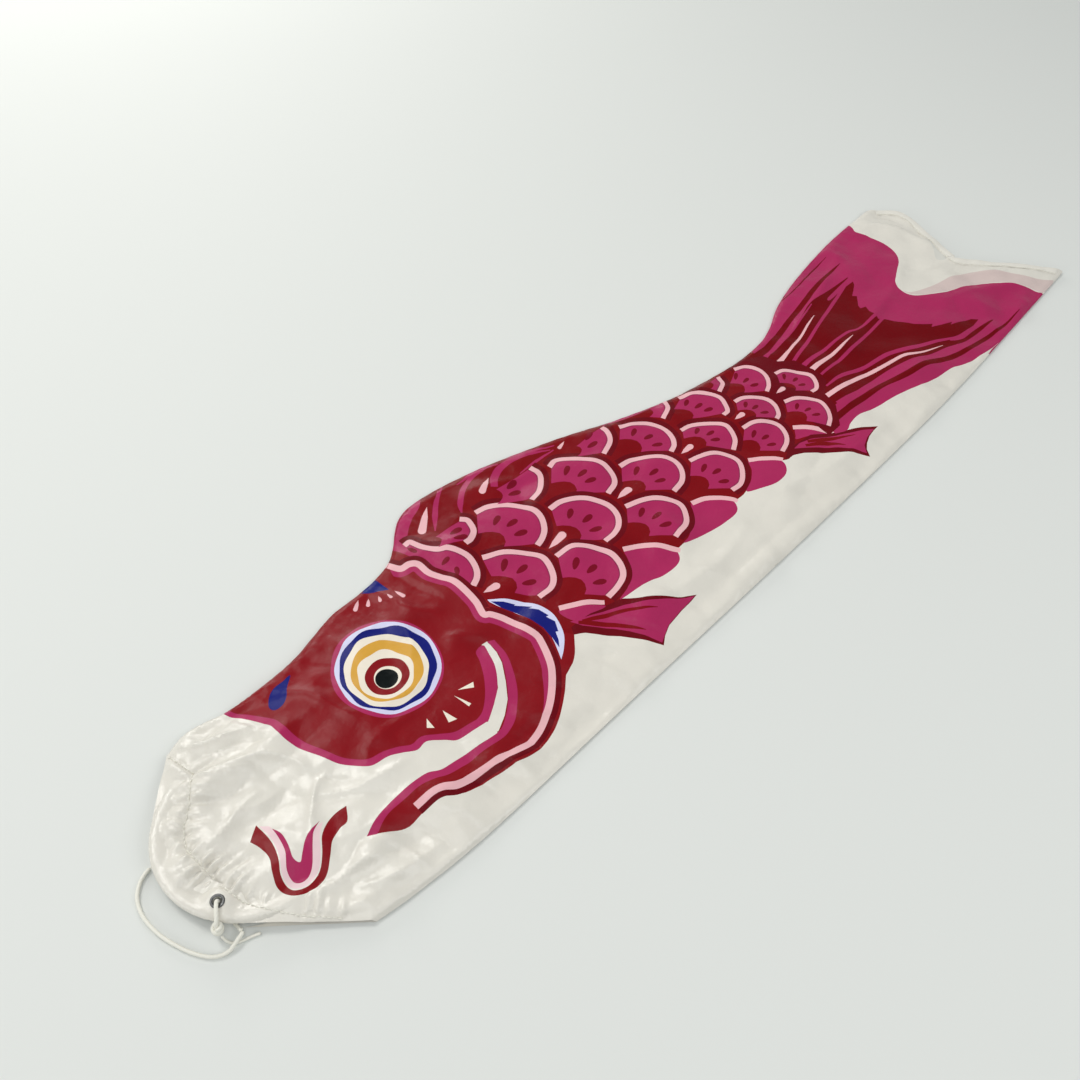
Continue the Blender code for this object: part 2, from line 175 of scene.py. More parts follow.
def math_node(nodes, links, kind, a, b=None):
    node = nodes.new("ShaderNodeMath")
    node.operation = kind
    for socket, value in zip(node.inputs, (a, b)):
        if isinstance(value, (int, float)):
            socket.default_value = value
        elif value is not None:
            links.new(value, socket)
    return node.outputs[0]


def noise_node(nodes, links, vector, scale, detail=2.0, rough=0.5):
    node = nodes.new("ShaderNodeTexNoise")
    node.inputs["Scale"].default_value = scale
    node.inputs["Detail"].default_value = detail
    node.inputs["Roughness"].default_value = rough
    links.new(vector, node.inputs["Vector"])
    return node.outputs["Fac"]


def bump_node(nodes, links, height, strength, distance, below=None):
    """A bump, on top of another bump's normal if one is given."""
    node = nodes.new("ShaderNodeBump")
    node.inputs["Strength"].default_value = strength
    node.inputs["Distance"].default_value = distance
    links.new(height, node.inputs["Height"])
    if below is not None:
        links.new(below, node.inputs["Normal"])
    return node.outputs["Normal"]


def blended(nodes, links, factor, low, high):
    node = nodes.new("ShaderNodeMix")
    node.data_type = "RGBA"
    links.new(factor, node.inputs["Factor"])
    for name, value in (("A", low), ("B", high)):
        socket = [s for s in node.inputs if s.name == name and s.type == "RGBA"][0]
        socket.default_value = (*value, 1.0)
    return [s for s in node.outputs if s.type == "RGBA"][0]


def weave_height(nodes, links, vector):
    """Plain weave: warp and weft threads that pass over each other in turn."""
    parts = nodes.new("ShaderNodeSeparateXYZ")
    links.new(vector, parts.inputs[0])
    threads = []
    for axis in (0, 1):
        turn = math_node(nodes, links, "MULTIPLY", parts.outputs[axis], math.pi / WEAVE_PITCH)
        threads.append(math_node(nodes, links, "SINE", turn))
    crossing = math_node(nodes, links, "MULTIPLY", *threads)
    return math_node(nodes, links, "ABSOLUTE", crossing)


def facet_height(nodes, links, where):
    """Flat irregular cells, with their corners moved about by a soft noise."""
    soft = nodes.new("ShaderNodeTexNoise")
    soft.inputs["Scale"].default_value = 22.0
    links.new(where, soft.inputs["Vector"])
    moved = nodes.new("ShaderNodeVectorMath")
    moved.operation = "MULTIPLY_ADD"
    links.new(soft.outputs["Color"], moved.inputs[0])
    moved.inputs[1].default_value = (0.02, 0.02, 0.0)
    links.new(where, moved.inputs[2])
    cells = nodes.new("ShaderNodeTexVoronoi")
    cells.inputs["Scale"].default_value = 36.0
    links.new(moved.outputs[0], cells.inputs["Vector"])
    return cells.outputs["Distance"]


def cloth_material(name, colour, vary=0.10, rough=0.30, sheen=0.0, gloss=0.20):
    """Thin glossy polyester: fine weave, small crinkles, soft cloudy ink, light sheen."""
    material, nodes, links, shader = new_material(name)
    where = nodes.new("ShaderNodeTexCoord").outputs["Object"]
    clouds = noise_node(nodes, links, where, 38.0, 4.0, 0.6)
    low = tuple(c * (1 - vary) for c in colour)
    high = tuple(min(0.95, c * (1 + vary)) for c in colour)
    links.new(blended(nodes, links, clouds, low, high), shader.inputs["Base Color"])
    speck = math_node(nodes, links, "MULTIPLY", noise_node(nodes, links, where, 420.0), 0.05)
    links.new(math_node(nodes, links, "ADD", speck, rough - 0.025), shader.inputs["Roughness"])
    shader.inputs["Specular IOR Level"].default_value = gloss
    shader.inputs["Sheen Weight"].default_value = sheen
    shader.inputs["Sheen Roughness"].default_value = 0.35
    weave = bump_node(nodes, links, weave_height(nodes, links, where), 0.22, 0.0001)
    small = noise_node(nodes, links, where, 90.0, 5.0, 0.6)
    crinkle = bump_node(nodes, links, small, 0.45, 0.0012, weave)
    facet = bump_node(nodes, links, facet_height(nodes, links, where), 0.36, 0.0016, crinkle)
    links.new(facet, shader.inputs["Normal"])
    return material


def plain_bumped(name, low, high, rough, metal=0.0):
    """Painted rod or worn metal: patches of tone and gloss over a fine grain."""
    material, nodes, links, shader = new_material(name)
    where = nodes.new("ShaderNodeTexCoord").outputs["Object"]
    patch = noise_node(nodes, links, where, 300.0, 4.0, 0.65)
    links.new(blended(nodes, links, patch, low, high), shader.inputs["Base Color"])
    spread_out = math_node(nodes, links, "MULTIPLY", patch, 0.25)
    links.new(math_node(nodes, links, "ADD", spread_out, rough - 0.12), shader.inputs["Roughness"])
    shader.inputs["Metallic"].default_value = metal
    grain = noise_node(nodes, links, where, 900.0, 3.0)
    links.new(bump_node(nodes, links, grain, 0.35, 0.00008), shader.inputs["Normal"])
    return material


def cord_material(name):
    """Soft white braided cord: fibres, and painted shade that greys the hollows between them."""
    material, nodes, links, shader = new_material(name)
    where = nodes.new("ShaderNodeTexCoord").outputs["Object"]
    fibre = noise_node(nodes, links, where, 700.0, 5.0, 0.7)
    links.new(blended(nodes, links, fibre, CORD_HOLLOW_SHADE, CORD_FIBRE), shader.inputs["Base Color"])
    shader.inputs["Roughness"].default_value = 0.62
    shader.inputs["Sheen Weight"].default_value = 0.3
    links.new(bump_node(nodes, links, fibre, 0.5, 0.0002), shader.inputs["Normal"])
    return material


PRINT = [
    cloth_material("cloth_white", WHITE, 0.05, 0.20, 0.04, 0.62),
    cloth_material("print_crimson", CRIMSON, 0.14),
    # the tail's crimson print, darkened with painted shade
    cloth_material("print_tail_crimson_painted_shade", SHADED_TAIL_CRIMSON, 0.14, gloss=0.10),
    cloth_material("print_magenta", MAGENTA, 0.11),
    cloth_material("print_pink", PINK, 0.06),
    cloth_material("print_navy", NAVY, 0.15, gloss=0.14),
    cloth_material("print_lavender", LAVENDER, 0.06),
    cloth_material("print_gold", GOLD, 0.14),
    cloth_material("print_cream", CREAM, 0.05),
    cloth_material("print_black", BLACK, 0.1, gloss=0.12),
    cloth_material("cloth_show_through", ROSE_WHITE, 0.05, 0.25, 0.06, 0.38),
    # painted shade along the tail's notch
    cloth_material("cloth_notch_painted_shade", NOTCH_SHADE_GREY, 0.05, 0.25, 0.06, 0.38),
    cloth_material("print_seed", SEED, 0.10, gloss=0.14),
    cloth_material("print_plum", PLUM, 0.12),
    # the body's crimson print, darkened with painted shade
    cloth_material("print_body_crimson_painted_shade", SHADED_BODY_CRIMSON, 0.14, gloss=0.14),
    cloth_material("print_maroon", MAROON, 0.12, gloss=0.12),
    cloth_material("print_blush", BLUSH, 0.05),
]
(M_WHITE, M_CRIMSON, M_SHADED_TAIL_CRIMSON, M_MAGENTA, M_PINK, M_NAVY, M_LAVENDER, M_GOLD, M_CREAM, M_BLACK,
 M_ROSE, M_NOTCH_SHADE, M_SEED, M_PLUM, M_SHADED_BODY_CRIMSON, M_MAROON, M_BLUSH) = range(len(PRINT))
CORD_LOOK = cord_material("cord_white")
THREAD_LOOK = cord_material("thread_white")
ROD_LOOK = plain_bumped("rod_white", (0.62, 0.62, 0.58), (0.75, 0.75, 0.71), 0.42)
# silver metal darkened with painted dark reflection
DARK_REFLECTION_METAL_LOOK = plain_bumped("eyelet_metal_painted_dark_reflection", (0.055, 0.057, 0.060), (0.20, 0.20, 0.20), 0.34, 1.0)
BARREL_LOOK = plain_bumped("eyelet_worn", (0.42, 0.42, 0.41), (0.66, 0.66, 0.64), 0.30, 1.0)
HEM_LOOK = cloth_material("hem_white", HEM_WHITE, 0.05, 0.26, 0.05, 0.4)


# ---- meshes and pieces ------------------------------------------------------------------
def join_rows(shape, rows, around=True, caps=False):
    """Quads between successive rows of vertices; around closes each row into a ring."""
    for near, far in zip(rows, rows[1:]):
        for k in range(len(near) if around else len(near) - 1):
            j = (k + 1) % len(near)
            shape.faces.new((near[k], near[j], far[j], far[k]))
    if caps:
        shape.faces.new(rows[0][::-1])
        shape.faces.new(rows[-1])


def finished_mesh(name, shape, *materials):
    bmesh.ops.recalc_face_normals(shape, faces=shape.faces)
    mesh = bpy.data.meshes.new(name)
    shape.to_mesh(mesh)
    shape.free()
    for material in materials:
        mesh.materials.append(material)
    mesh.shade_smooth()
    return mesh


def piece(name, shape, materials, slot, body, *nodes):
    """A visible piece that rides on one body, in place of the named nodes."""
    thing = linked(name, finished_mesh(name, shape, *materials))
    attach(thing, body)
    if nodes:
        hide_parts(*nodes)
    return thing


def bend(thing, low_body, high_body, fold_x):
    """Bake a cloth piece's transform into its mesh; the bodies and the fold line it is given are not
    used.
    """
    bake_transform(thing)


def dress(mesh, colours):
    """Give each face the material of its printed colour."""
    kinds = sorted(set(colours.tolist()))
    for kind in kinds:
        mesh.materials.append(PRINT[kind])
    mesh.polygons.foreach_set("material_index", [kinds.index(c) for c in colours.tolist()])


# ---- curves -----------------------------------------------------------------------------
def catmull_rom(spans, per_span):
    """Points of the curve over each span (a, b, c, d), from b up to c."""
    curve = []
    for a, b, c, d in spans:
        for step in range(per_span):
            t = step / per_span
            curve.append(0.5 * (2 * b + (c - a) * t + (2 * a - 5 * b + 4 * c - d) * t**2
                                + (3 * b - a - 3 * c + d) * t**3))
    return curve


def smooth(points, per_span=6):
    """An open curve through the points."""
    p = [Vector(point) for point in points]
    p = [2 * p[0] - p[1]] + p + [2 * p[-1] - p[-2]]
    return catmull_rom(zip(p, p[1:], p[2:], p[3:]), per_span) + [p[-2]]


def ring(points):
    """A closed curve through the points."""
    p = [Vector(point) for point in points]
    return catmull_rom(zip(p[-1:] + p, p, p[1:] + p[:1], p[2:] + p[:2]), 6)


def normals(line):
    """Unit vectors to the left of the line, one at each point."""
    found = []
    for i in range(len(line)):
        along = (line[min(i + 1, len(line) - 1)] - line[max(i - 1, 0)]).normalized()
        found.append(Vector((-along.y, along.x)))
    return found


def spread(values, share):
    """The value at a share of the way through evenly spaced values."""
    at = share * (len(values) - 1)
    k = min(int(at), len(values) - 2)
    return values[k] + (values[k + 1] - values[k]) * (at - k)


def band(points, widths):
    """An outline of varying width along a centre line; widths are spread evenly along it."""
    line = smooth(points)
    half = [spread(widths, i / (len(line) - 1)) / 2 for i in range(len(line))]
    left = [p + n * w for p, n, w in zip(line, normals(line), half)]
    right = [p - n * w for p, n, w in zip(line, normals(line), half)]
    return left + right[::-1]


def shifted(line, by):
    return [p + n * by for p, n in zip(line, normals(line))]


def stripe(line, left, right):
    """The field between two shifted copies of a line."""
    return shifted(line, left) + shifted(line, right)[::-1]


def drop(fat, tip, width):
    """A teardrop, round at one end and pointed at the other."""
    a, b = Vector(fat), Vector(tip)
    along = (b - a).normalized()
    across = Vector((-along.y, along.x))
    length = (b - a).length
    points = []
    for i in range(9):
        turn = math.pi / 2 + math.pi * i / 8
        points.append(a + along * (math.cos(turn) + 1) * width / 2
                      + across * math.sin(turn) * width / 2)
    points.append(a + along * length * 0.62 - across * width * 0.36)
    points.append(b)
    points.append(a + along * length * 0.62 + across * width * 0.36)
    return points


def seed(centre, angle, length, width):
    """An oval with one fuller end."""
    along = Vector((math.cos(angle), math.sin(angle)))
    across = Vector((-along.y, along.x))
    return [Vector(centre) + along * math.cos(t) * length / 2
            + across * math.sin(t) * (width / 2) * (1 + 0.25 * math.cos(t))
            for t in (TURN * i / 14 for i in range(14))]


def oval(x, y, rx, ry, wobble=0.0, waves=9, phase=0.0):
    """A hand-drawn oval, a little uneven."""
    points = []
    for i in range(72):
        t = TURN * i / 72
        grow = 1 + wobble * (math.sin(waves * t + phase) + 0.6 * math.sin(5 * t + 1 + phase))
        points.append(Vector((x + rx * grow * math.cos(t), y + ry * grow * math.sin(t))))
    return points


# ---- outline of the side cloth ----------------------------------------------------------
BACK_EDGE = [
    (68, 193), (82, 197.5), (97, 196.5), (118, 191), (150, 189.5), (180, 191.5), (203, 197),
    (226, 202), (250, 202), (270, 203.5), (289, 208.5), (302, 217.5), (313, 228), (326, 237),
    (343, 240), (371, 237), (409, 228.5), (450, 215.5), (490, 201), (530, 184), (580, 167),
    (620, 158), (665, 151.5), (700, 152), (724, 158), (752, 170.5), (786, 180), (830, 188),
    (870, 193), (905, 195), (942, 195.5),
]
BELLY_EDGE = [
    (92, -3), (127, -8), (190, -12.5), (330, -13.5), (510, -15), (700, -14.5), (790, -12),
    (862, -8), (994, 0),
]
TAIL_EDGE = [(994, 0), (965, 41), (933, 82), (934, 90), (949, 126), (960, 158), (957, 176), (942, 195.5)]
BACK = smooth(BACK_EDGE, 5)
BELLY = smooth(BELLY_EDGE, 9)
TAIL = smooth(TAIL_EDGE, 7)

def tangent_angle(corner, side):
    """Where on the rim the straight edge from a corner touches it."""
    away = Vector(corner) - Vector(HOOP_CENTRE)
    return math.atan2(away.y, away.x) + side * math.acos(RIM / away.length)


BACK_TANGENT = tangent_angle(BACK_EDGE[0], 1)
BELLY_TANGENT = tangent_angle(BELLY_EDGE[0], -1) + TURN


def on_rim(radius, angle):
    return Vector((HOOP_CENTRE[0] + radius * math.cos(angle),
                   HOOP_CENTRE[1] + radius * math.sin(angle)))


ARC = [on_rim(RIM, BACK_TANGENT + (BELLY_TANGENT - BACK_TANGENT) * i / 44) for i in range(45)]
OUTLINE = BACK + TAIL[::-1][1:] + BELLY[::-1][1:] + ARC[::-1]


# ---- the print --------------------------------------------------------------------------
HEAD_REAR = smooth([
    (287, 207), (292, 198), (300, 196), (305, 191), (305.5, 180), (309, 170), (313, 160),
    (313.5, 147), (312, 132), (307.5, 119), (311, 115), (316, 105), (320, 90), (322.5, 77),
    (320.5, 69), (312, 52), (305, 43), (293, 32.5), (280, 24), (265, 18), (253, 16), (243, 18),
    (227, 22.5), (207, 26), (195, 29), (187, 35), (178, 38), (164, 38.5),
])
HEAD_FRONT = [
    (112, 196), (115, 191), (121, 182), (127, 172), (132.5, 161), (133, 152), (134, 142), (138, 128),
    (142.5, 117), (148, 103), (155, 93), (163, 84), (176, 81), (185, 76), (194, 70), (203, 70),
    (213, 62), (220, 55.5), (233, 52.5), (245, 50.5),
]
JAW_TOP = [(243, 37), (227, 41), (207, 44), (195, 46), (187, 51), (177, 53), (162, 54), (150, 53),
           (137, 50), (126, 46)]
JAW_LOW = [(138, 39), (152, 32), (175, 32), (187, 27), (195, 21), (208, 17.5), (228, 13), (247, 7.5),
           (258, 7), (277, 12), (290, 19), (303, 28), (315, 37.5), (323, 39), (332, 45), (343, 56)]
HEAD = smooth(HEAD_FRONT) + smooth(JAW_TOP) + smooth(JAW_LOW) + [
    Vector(p) for p in ((330, 80), (318, 118), (320, 150), (310, 185), (296, 230), (250, 230),
    (112, 230))]
SNOUT_BORDER = smooth(HEAD_FRONT) + smooth([
    (245, 56), (235, 58.5), (223, 61.5), (213, 68.5), (203, 75.5), (194, 76), (186, 81.5), (176, 86.5),
    (165, 89.5), (158, 97), (152.5, 105), (147.5, 118), (143.5, 129), (140.5, 142), (139.5, 152),
    (138, 163), (132, 172), (125, 183), (119, 191), (117, 198)])
CRESCENT_MAGENTA_IN = smooth([
    (245, 50), (236, 56), (247, 58.5), (257, 65.5), (265, 74), (271, 82), (277, 92), (281, 100),
    (288.5, 100), (286.5, 92), (281, 79), (270, 65.5), (258, 57)])
CRESCENT_WHITE = [
    (293, 100), (288, 101), (286, 92), (280, 78), (270, 65), (258, 57), (247, 51), (238, 50.5),
    (222, 53), (203, 60),
    (185, 66), (160, 66), (170, 58), (186, 52), (203, 43.5), (227, 41), (245, 39), (257, 45), (268, 53),
    (278, 65), (287, 78), (291, 88)]
CRESCENT_MAGENTA_OUT = smooth([
    (292.5, 100), (291.5, 88), (287, 77), (278, 64), (268, 52.5), (257, 44), (245, 38.5), (227, 40.5),
    (207, 43.5), (200, 43)]) + smooth([
    (203, 38), (213, 36), (227, 35), (243, 32.5), (258, 36), (270, 45), (280, 55), (288, 67),
    (295, 82), (297.5, 97)])
JAW_MAGENTA = smooth(JAW_TOP[1:]) + smooth([(132, 42), (147, 47.5), (165, 48), (177, 47.5),
(187, 44), (197, 39), (213, 36.5), (227, 36)])

MOUTH_RED = smooth([(69, 101), (71, 93), (71, 82), (66, 72), (62, 62), (63, 53), (68, 46), (79, 42.5),
                    (90, 45), (100, 53), (108, 60), (117, 63), (124, 63.5), (131, 73)]) \
    + smooth([(131, 73), (122, 73.7), (113, 72), (105, 67), (97, 57.5), (88, 50), (77, 47), (69, 51),
              (67, 58), (69, 67), (75, 77), (79, 90), (79.5, 108.5)])
MOUTH_PINK = smooth([(80.5, 106), (80, 90), (76, 77), (70, 67), (68, 58), (70, 52), (77, 48), (88, 51),
                     (96, 58), (104, 68), (112, 75)]) \
    + smooth([(104, 74.5), (96, 69), (87, 57.5), (79, 53.5), (74.5, 55), (72.5, 60), (74.5, 67),
    (81, 76),
              (84.5, 88), (85, 100)])
MOUTH_MAGENTA = smooth([(85, 97), (84, 88), (81, 77), (74, 67), (72, 59), (74, 54), (79, 52.5),
                        (87, 56),
                        (97, 67), (103, 73), (111, 77)]) \
    + smooth([(111, 77), (97, 73.5), (88, 67.5), (83.5, 64.5), (82, 70), (85, 78), (87, 88), (85, 97)])

FEATHER_BLUE = smooth([(319.5, 127), (330, 118), (338, 108), (344, 97), (346, 83), (343, 72), (337, 61),
                       (327, 52), (319, 47)]) + smooth([(324, 56), (329, 66), (331, 78), (329, 91),
                                                        (326, 104), (321, 116), (319, 124)])
FEATHER_NAVY = [(320, 124), (322, 113), (327, 102), (329, 90), (331, 77), (329, 65), (326, 55.5),
                (331, 61),
                (335, 68), (336.7, 66.7), (341.7, 75), (340, 83), (342.5, 82.5), (341, 92), (337, 99),
                (340, 97.5), (336, 104), (331, 109), (332.5, 109), (327, 117)]

DORSAL_MAGENTA = [(289, 206), (300, 216), (313, 227), (326, 236), (343, 239.5), (352, 241),
                  (345, 234), (334, 230), (324, 224), (316, 217), (308, 208), (300, 199)]
DORSAL_STROKES = [
    ([(338, 207), (348, 218), (360, 229), (374, 237)], [1, 5, 4, 1]),
    ([(366, 205), (372, 213), (384, 222), (398, 227), (414, 225)], [1, 5, 5, 4, 1]),
    ([(384, 230), (404, 229), (424, 221)], [1, 3, 1]),
    ([(404, 205), (412, 213), (426, 217), (446, 212), (468, 201)], [6, 7, 6, 4, 1]),
    ([(430, 222), (452, 212), (474, 202)], [1, 3, 1]),
    ([(352, 222), (362, 231), (368, 236)], [1, 2, 1]),
    ([(520, 187), (545, 178), (566, 171)], [1, 3, 1]),
    ([(430, 200.5), (450, 200), (470, 199)], [1, 3, 1]),
]
DORSAL_DROPS = [((328, 213), (350, 230), 7), ((391, 207.5), (408, 216), 6), ((474, 197),
                (484, 199.5), 3.4)]

# each scale: its pink arc from the top round the rear to the bottom, the place of its base, and
# how many seeds it shows
SCALES = [
    ([(310, 216), (317.5, 215), (321, 203), (327, 193), (334, 188), (339, 178), (341, 167),
    (337.5, 155),
      (331, 147), (322, 142)], None, [(311, 205), (322.5, 178), (322, 164)]),
    ([(347, 162), (363, 153), (375, 140), (382, 127), (380, 115), (373, 103), (363, 97), (350, 98)],
     (338, 130), [(353, 142), (360, 129), (355, 116)]),
    ([(362, 203), (366, 198), (366, 192), (362, 183), (353, 177.5), (346, 177)], (330, 197),
     [(349, 194), (347, 186)]),
    ([(375, 200), (387, 197), (400, 187), (408, 175), (412, 163), (410, 152), (403, 142), (395, 137),
      (387, 135)], (362, 168), [(380, 178), (387, 167), (385, 155)]),
    ([(388, 120), (403, 118), (415, 108), (422.5, 95), (424, 85), (420, 73), (412, 64), (400, 60),
      (388, 59)], (375, 88), [(393, 101), (399, 89), (394, 76)]),
    ([(443, 199), (444, 188), (438, 180), (428, 173), (417, 171)], (398, 197), [(417, 197.5),
    (413, 190)]),
    ([(452.5, 190), (463, 191), (475, 182), (485, 170), (490, 157), (487.5, 143), (480, 134),
    (467, 130)],
     (443, 163), [(460, 174), (467, 162.5), (466, 152)]),
    ([(419, 157), (433, 156), (447, 148), (456, 135), (460, 122), (457, 110), (448, 101), (438, 97.5),
      (427.5, 98)], (411, 127.5), [(428, 140), (435, 127), (432, 115)]),
    ([(467.5, 115), (480, 110), (492, 102), (500, 90), (502, 80), (497, 70), (487, 62), (470, 59)],
     (454, 89), [(471, 99), (476, 87), (473, 75)]),
    ([(520, 186), (519, 178), (512, 168), (497.5, 162.5)], (483, 184), [(502.5, 187.5), (498, 179)]),
    ([(529, 177), (540, 172), (552, 163), (558, 150), (557, 137), (550, 127), (541, 123)],
     (519, 155), [(533, 162), (539, 150), (538, 139)]),
    ([(497, 148), (510, 146), (522, 138), (532, 127), (535, 115), (531, 103), (522, 95), (507.5, 92)],
     (487, 123), [(503, 132.5), (511, 120), (507.5, 110)]),
    ([(542.5, 108), (553, 105), (567, 97), (574, 83), (572.5, 72), (563, 62), (553, 57), (542.5, 58)],
     (529, 86), [(544, 92), (549, 82), (545, 71)]),
    ([(583, 167), (577, 157.5), (565, 153)], (561, 168), []),
    ([(593, 162.5), (607, 157.5), (616, 147), (621, 135), (618, 125), (612, 117.5), (605, 117)],
     (580, 146), [(593, 152), (598, 142), (601, 133)]),
    ([(566, 137), (577, 134), (588, 126), (597, 115), (598, 105), (592, 93), (581, 86)],
     (561, 117), [(574, 124), (580, 114), (577, 106)]),
    ([(605, 99), (617, 96), (628, 87), (632.5, 77), (628, 65), (620, 58), (608, 54)],
     (594, 80), [(606, 86), (611, 77), (608, 68)]),
    ([(641, 152), (637, 143), (625, 137.5)], (624, 150), []),
    ([(625, 124), (635, 122), (645, 114), (651, 104), (650, 93), (643, 84), (636, 81)],
     (619, 105), [(629, 113), (632.5, 105), (633, 95)]),
    ([(658, 150), (668, 145), (674, 133), (673, 122), (665, 112), (657, 108)],
     (640, 132), [(652, 142), (654, 132), (654, 122.5)]),
    ([(658, 92.5), (668, 87.5), (677, 78), (681, 68), (677.5, 57), (670, 48), (661, 43)],
     (649, 72), [(660, 79), (663, 69.5), (662, 60)]),
    ([(680, 120), (690, 117), (698, 107), (703, 95), (700, 85), (693, 79), (685, 79)],
     (673, 100), [(682.5, 110), (687.5, 101), (686, 92.5)]),
]
# the dark lobes at a scale's base, as steps towards its rear and towards its top
NOTCH = [(1, -13), (6, -10), (9.5, -5), (10.5, 0), (8.5, 5), (5, 9), (1, 12)]
JUNCTIONS = [((337, 131), (322, 134), 7), ((410, 129), (390, 128), 7.5), ((485, 123), (468, 123), 7),
             ((558, 116), (544, 117), 6), ((619, 107), (607, 108), 5.5), ((671, 101), (660, 102), 5)]

BODY_BASE = [Vector(p) for p in (
    (284, 212), (286, 200), (292, 190), (298, 165), (300, 140), (298, 118), (306, 92),
    (308, 74), (302, 50), (306, 34), (323, 39), (332, 45), (343, 56), (349, 52), (372, 44), (388, 54),
    (395, 52), (430, 56), (455, 56), (464, 52.5), (474, 52), (505, 54), (536, 50.5), (545, 50),
    (570, 54), (590, 54), (602, 46.5), (609, 46), (618, 44), (640, 40), (652, 38), (660, 33), (676, 35),
    (684, 60), (706, 80), (712, 110), (704, 134), (690, 150), (665, 158), (500, 215), (350, 260),
    (290, 240))]
# belly lobes: the magenta field, then the pink rim on its rear side
LOBES = [
    ([(352, 80), (352, 64), (366, 60), (380, 58)], [(352.5, 81), (362, 75), (373, 68), (382, 60)]),
    ([(432, 84), (426, 74), (418, 64), (405, 56), (392.5, 52.5), (420, 48), (433, 44), (448, 42.5),
      (457, 46), (460, 55), (452, 68), (443, 77)],
     [(431, 84), (443, 77), (453, 66), (459.5, 55), (462.5, 50)]),
    ([(508, 76), (501, 68), (490, 60), (478, 54), (470, 52), (490, 46.5), (508, 42.5), (525, 42),
      (532, 47), (533, 55), (526, 66), (518, 72)],
     [(508, 75.5), (519, 71.5), (528, 63), (534.5, 54), (536, 49)]),
    ([(579, 71), (572, 62), (562, 55), (550, 50), (563, 42.5), (575, 37.5), (587, 37.5), (595, 43),
      (597, 51), (592, 60), (586, 66)],
     [(579, 71), (587, 65), (595, 57), (599.5, 49.5)]),
    ([(637, 64), (631, 59), (628, 56), (637, 51), (646, 44.5), (653, 37.5), (655, 40), (650, 52),
    (643, 60)],
     [(637, 66.5), (644, 59), (650, 50), (654, 42), (657, 35)]),
]
PECTORAL = [(346, 62), (343, 56.5), (350, 51), (356, 43.5), (361, 37), (367, 30), (372, 22), (377, 12),
            (382.5, 0), (390, 5), (400, 9), (418, 11.5), (438, 13), (425, 22), (413, 33), (403, 42),
            (393, 53), (372, 60)]
PECTORAL_IN = [(349, 66), (353, 57), (361, 47.5), (369, 38), (375, 28), (379.5, 17), (383.5, 2.5),
               (390, 5.5),
               (400, 9.5), (418, 12), (436, 13.5), (424, 21), (412, 30), (402, 38), (391, 46.5),
               (378, 53.5),
               (362, 60)]
PECTORAL_STROKES = [
    ([(353, 61), (362, 51), (371, 41), (379, 29), (384, 19)], [3, 4.5, 4, 3, 0.5]),
    ([(356, 59.5), (372, 51.5), (386, 43.5), (398, 33.5), (406, 26)], [3, 4, 3.5, 2.5, 0.5]),
]
VENTRAL = [(602, 49), (603, 46), (609, 46.5), (618, 41), (627, 33), (635, 24), (641, 17), (647, 10),
           (651, 4),
           (654.5, -2.5), (659, 4), (665, 8), (673, 11), (682, 12.5), (689.5, 13), (681, 20), (672, 27),
           (663, 32.5), (655, 38), (640, 50), (615, 54)]
VENTRAL_IN = [(617, 50.5), (627, 41.5), (636, 32), (643, 23), (650, 12.5), (655.5, 1.5), (661, 8),
              (670, 11.5),
              (684, 13.5), (677, 19), (668, 25), (659, 31), (648, 38), (636, 47), (626, 51)]
VENTRAL_STROKES = [([(627, 45.5), (638, 37), (645, 29), (650, 20)], [3, 5, 4, 0.5]),
                   ([(632, 47), (645, 37), (656, 29), (667, 21.5)], [3, 4.5, 3, 0.5])]

TAIL_FIELD = smooth([
    (910, 198), (907.5, 190), (905, 184), (909, 173), (911, 160), (911, 148), (907, 137), (897, 127),
    (885, 121), (875, 116), (865, 110), (861, 100), (862, 88), (870, 79), (882, 70), (897, 63),
    (908, 58), (920, 50), (933, 38), (943, 27), (949, 15), (952, 2), (952, -6), (940, -7)]) + smooth([
    (930, -6.3), (897, -7), (855, -7.5), (830, -4), (813, -1), (797, 5), (780, 8), (763, 12.5),
    (747, 18),
    (730, 23), (713, 27.5), (697, 32), (688, 33.5), (676, 32.5), (667, 30), (657, 35)]) + [
    Vector(p) for p in ((668, 90), (690, 160), (760, 200))]
# the tail's crimson field and, below, its strokes: crimson print, drawn darker than the head's with
# painted shade
TAIL_CRIMSON_FIELD = smooth([
    (668, 146), (684, 136), (700, 137), (713, 140), (738, 141), (762, 147.5), (780, 152), (805, 151),
    (825, 149.5), (838, 148.5)]) + smooth([
    (838, 147.5), (815, 146.5), (800, 145), (800, 142), (820, 142.5), (837.5, 141.5)]) + [
    Vector(p) for p in (
        (835, 138), (828, 134), (821, 130.5), (824, 127), (818, 122), (813, 118), (811, 114),
        (816, 111.5),
        (812, 105), (811, 97), (809, 92.5), (814, 87), (817, 80), (822, 72), (826, 64), (832, 57),
        (838, 51), (834, 49.5), (843, 44), (853, 39), (849, 38), (862, 33), (872, 29),
        (876, 23.5))] + smooth([
    (865, 22.5), (846, 25), (836, 28), (832, 27), (842, 20), (863, 18), (886, 13.5), (870, 13),
    (840, 16), (822, 24), (800, 30), (784, 38), (764, 43), (738, 47), (713, 50.5), (686, 55),
    (672, 50)]) + [
    Vector(p) for p in ((664, 90), (664, 140))]
TAIL_CRIMSON_STROKES = [
    ([(668, 146), (690, 144), (713, 145.5), (747, 152), (780, 157.5), (800, 161.5), (830, 164.5),
    (850, 166)],
     [12, 8, 6.5, 5.5, 5.5, 5, 3.5, 0.6]),
    ([(668, 46), (690, 44.5), (713, 42), (738, 38), (763, 30), (783, 25), (805, 15), (830, 8.5),
    (855, 5),
      (885, 1.7), (912, 1.5)], [7, 6, 6, 6, 6.5, 6.5, 6, 5, 4.5, 3, 0.6]),
    ([(752, 174), (786, 175), (826, 180.5), (850, 182.5)], [0.5, 1.3, 1.8, 0.5]),
]
